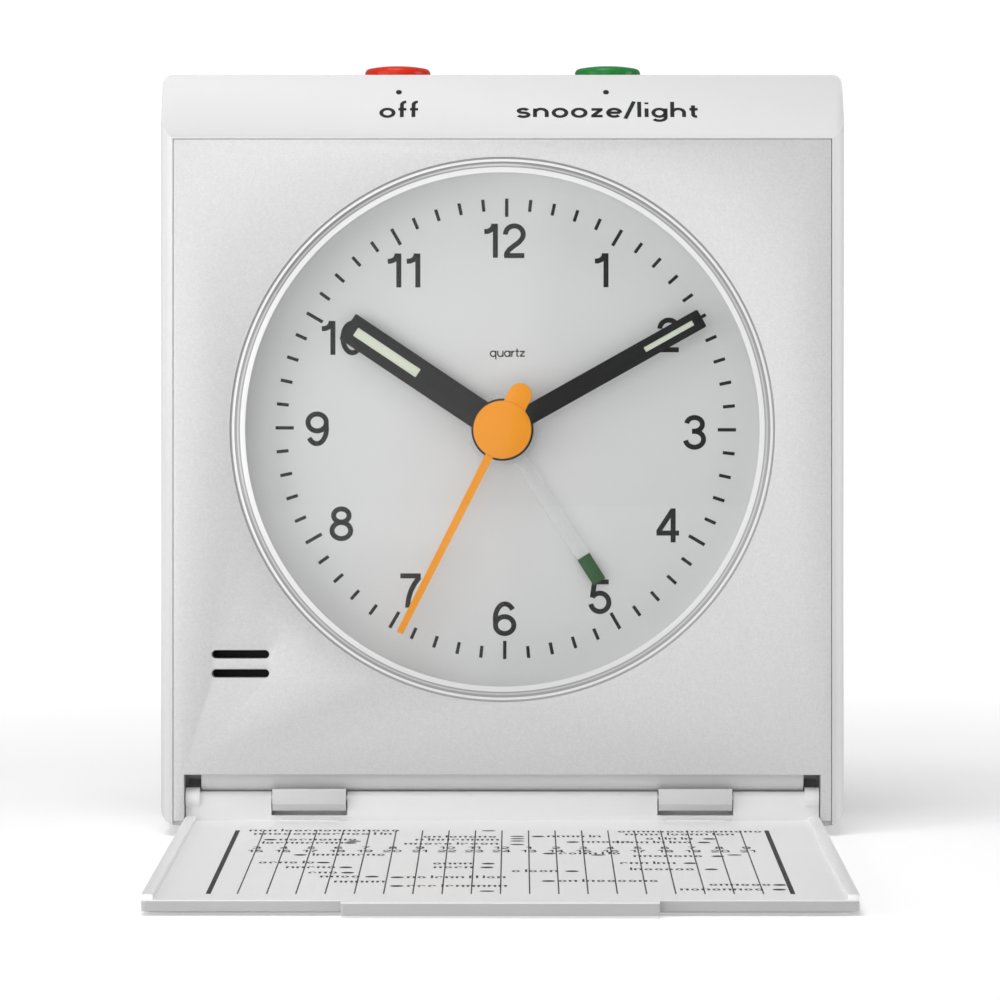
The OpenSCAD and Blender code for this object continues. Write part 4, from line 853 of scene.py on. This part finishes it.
# Brass wheels, centre pipe, alarm contact and sounder: pressed and turned brass with fine
# machining marks.
brass = Finish("wheel_brass", Metallic=1.0)
here = brass.spot()
brass.set(Base_Color=brass.mix(brass.noise(here, 2, 3.0), (0.66, 0.46, 0.17), (0.80, 0.58, 0.24)),
          Roughness=0.28 + 0.14 * brass.noise(here, 0.4, 3.0))
brass.bump(brass.noise(here, 0.1, 2.0), 0.002)
paint(brass, "second_wheel", "third_wheel", "centre_wheel", "centre_pipe", "alarm_contact", "buzzer")

# Plastic wheels, shafts and bobbin, moulded in natural acetal, and the lamp, which is
# given the same milky finish.
acetal = moulded("natural_acetal", (0.82, 0.82, 0.77), 0.4, 0.2, 0.003, 0.03)
paint(acetal, "hour_wheel", "alarm_wheel", "step_wheel", "minute_wheel", "time_shaft", "alarm_shaft",
      "coil_bobbin", "light_lamp")

# Movement frame: three grey moulded plates, held apart by pillars, that carry the wheels
# between them.
frame_grey = moulded("frame_grey", (0.42, 0.43, 0.45), 0.5, 0.15, 0.004, 0.04)
paint(frame_grey, "movement_cover", "movement_plate", "movement_bridge")

# Step motor: laminated iron stator, magnet rotor and a winding of enamelled copper wire.
iron = Finish("stator_iron", Metallic=0.9)
here = iron.spot()
iron.set(Base_Color=iron.mix(iron.noise(here, 1.5, 3.0), (0.30, 0.30, 0.31), (0.42, 0.42, 0.43)),
         Roughness=0.42 + 0.15 * iron.noise(here, 0.5, 3.0))
iron.bump(iron.noise(here, 0.15, 3.0), 0.004)
paint(iron, "stator", "rotor")
copper = Finish("enamelled_copper", Metallic=0.9, Coat_Weight=0.4)
here = copper.spot(UPRIGHT)
turns = copper.node("TexWave", {"wave_type": "BANDS", "bands_direction": "X", "wave_profile": "SIN"},
                    {"Vector": here, "Scale": 2.2})
copper.set(Base_Color=copper.mix(turns, (0.30, 0.09, 0.03), (0.62, 0.25, 0.10)), Roughness=0.3 + 0.1 * turns)
copper.bump(turns, 0.04)
paint(copper, "coil_winding")

# Battery: an AAA cell in a steel jacket, plain dark with a copper-coloured band, and the
# red plastic-covered leads that run up to the board.
jacket = Finish("cell_jacket", Metallic=0.7, Coat_Weight=0.5, Coat_Roughness=0.1)
here = jacket.spot(UPRIGHT)
along = jacket.node("SeparateXYZ", {}, {"Vector": here}, 0)
band = along > 12.0
jacket.set(Base_Color=jacket.mix(band, (0.05, 0.055, 0.065), (0.55, 0.28, 0.10)),
           Roughness=0.26 + 0.1 * jacket.noise(jacket.spot(), 1.5, 3.0))
paint(jacket, "battery_cell")
red_pvc = moulded("red_pvc", (0.45, 0.05, 0.03), 0.45, 0.2, 0.003, 0.05)
paint(red_pvc, "battery_leads")

# Electronics: a green laminate board with its tracks, a drop of black resin over the
# chip, and the black bodies of the two button switches.
board = Finish("board_laminate", Coat_Weight=0.4, Coat_Roughness=0.15)
here = board.spot(UPRIGHT)
tracks = board.node("TexWave", {"wave_type": "BANDS", "bands_direction": "X"},
                    {"Vector": here, "Scale": 0.35, "Distortion": 3.0})
board.set(Base_Color=board.mix(tracks > 0.75, (0.02, 0.12, 0.05), (0.05, 0.24, 0.10)),
          Roughness=0.35 + 0.1 * board.noise(board.spot(), 2, 3.0))
paint(board, "circuit_board")
resin = moulded("black_resin", (0.02, 0.02, 0.022), 0.35, 0.4, 0.006, 0.1)
paint(resin, "chip", "button_switches")
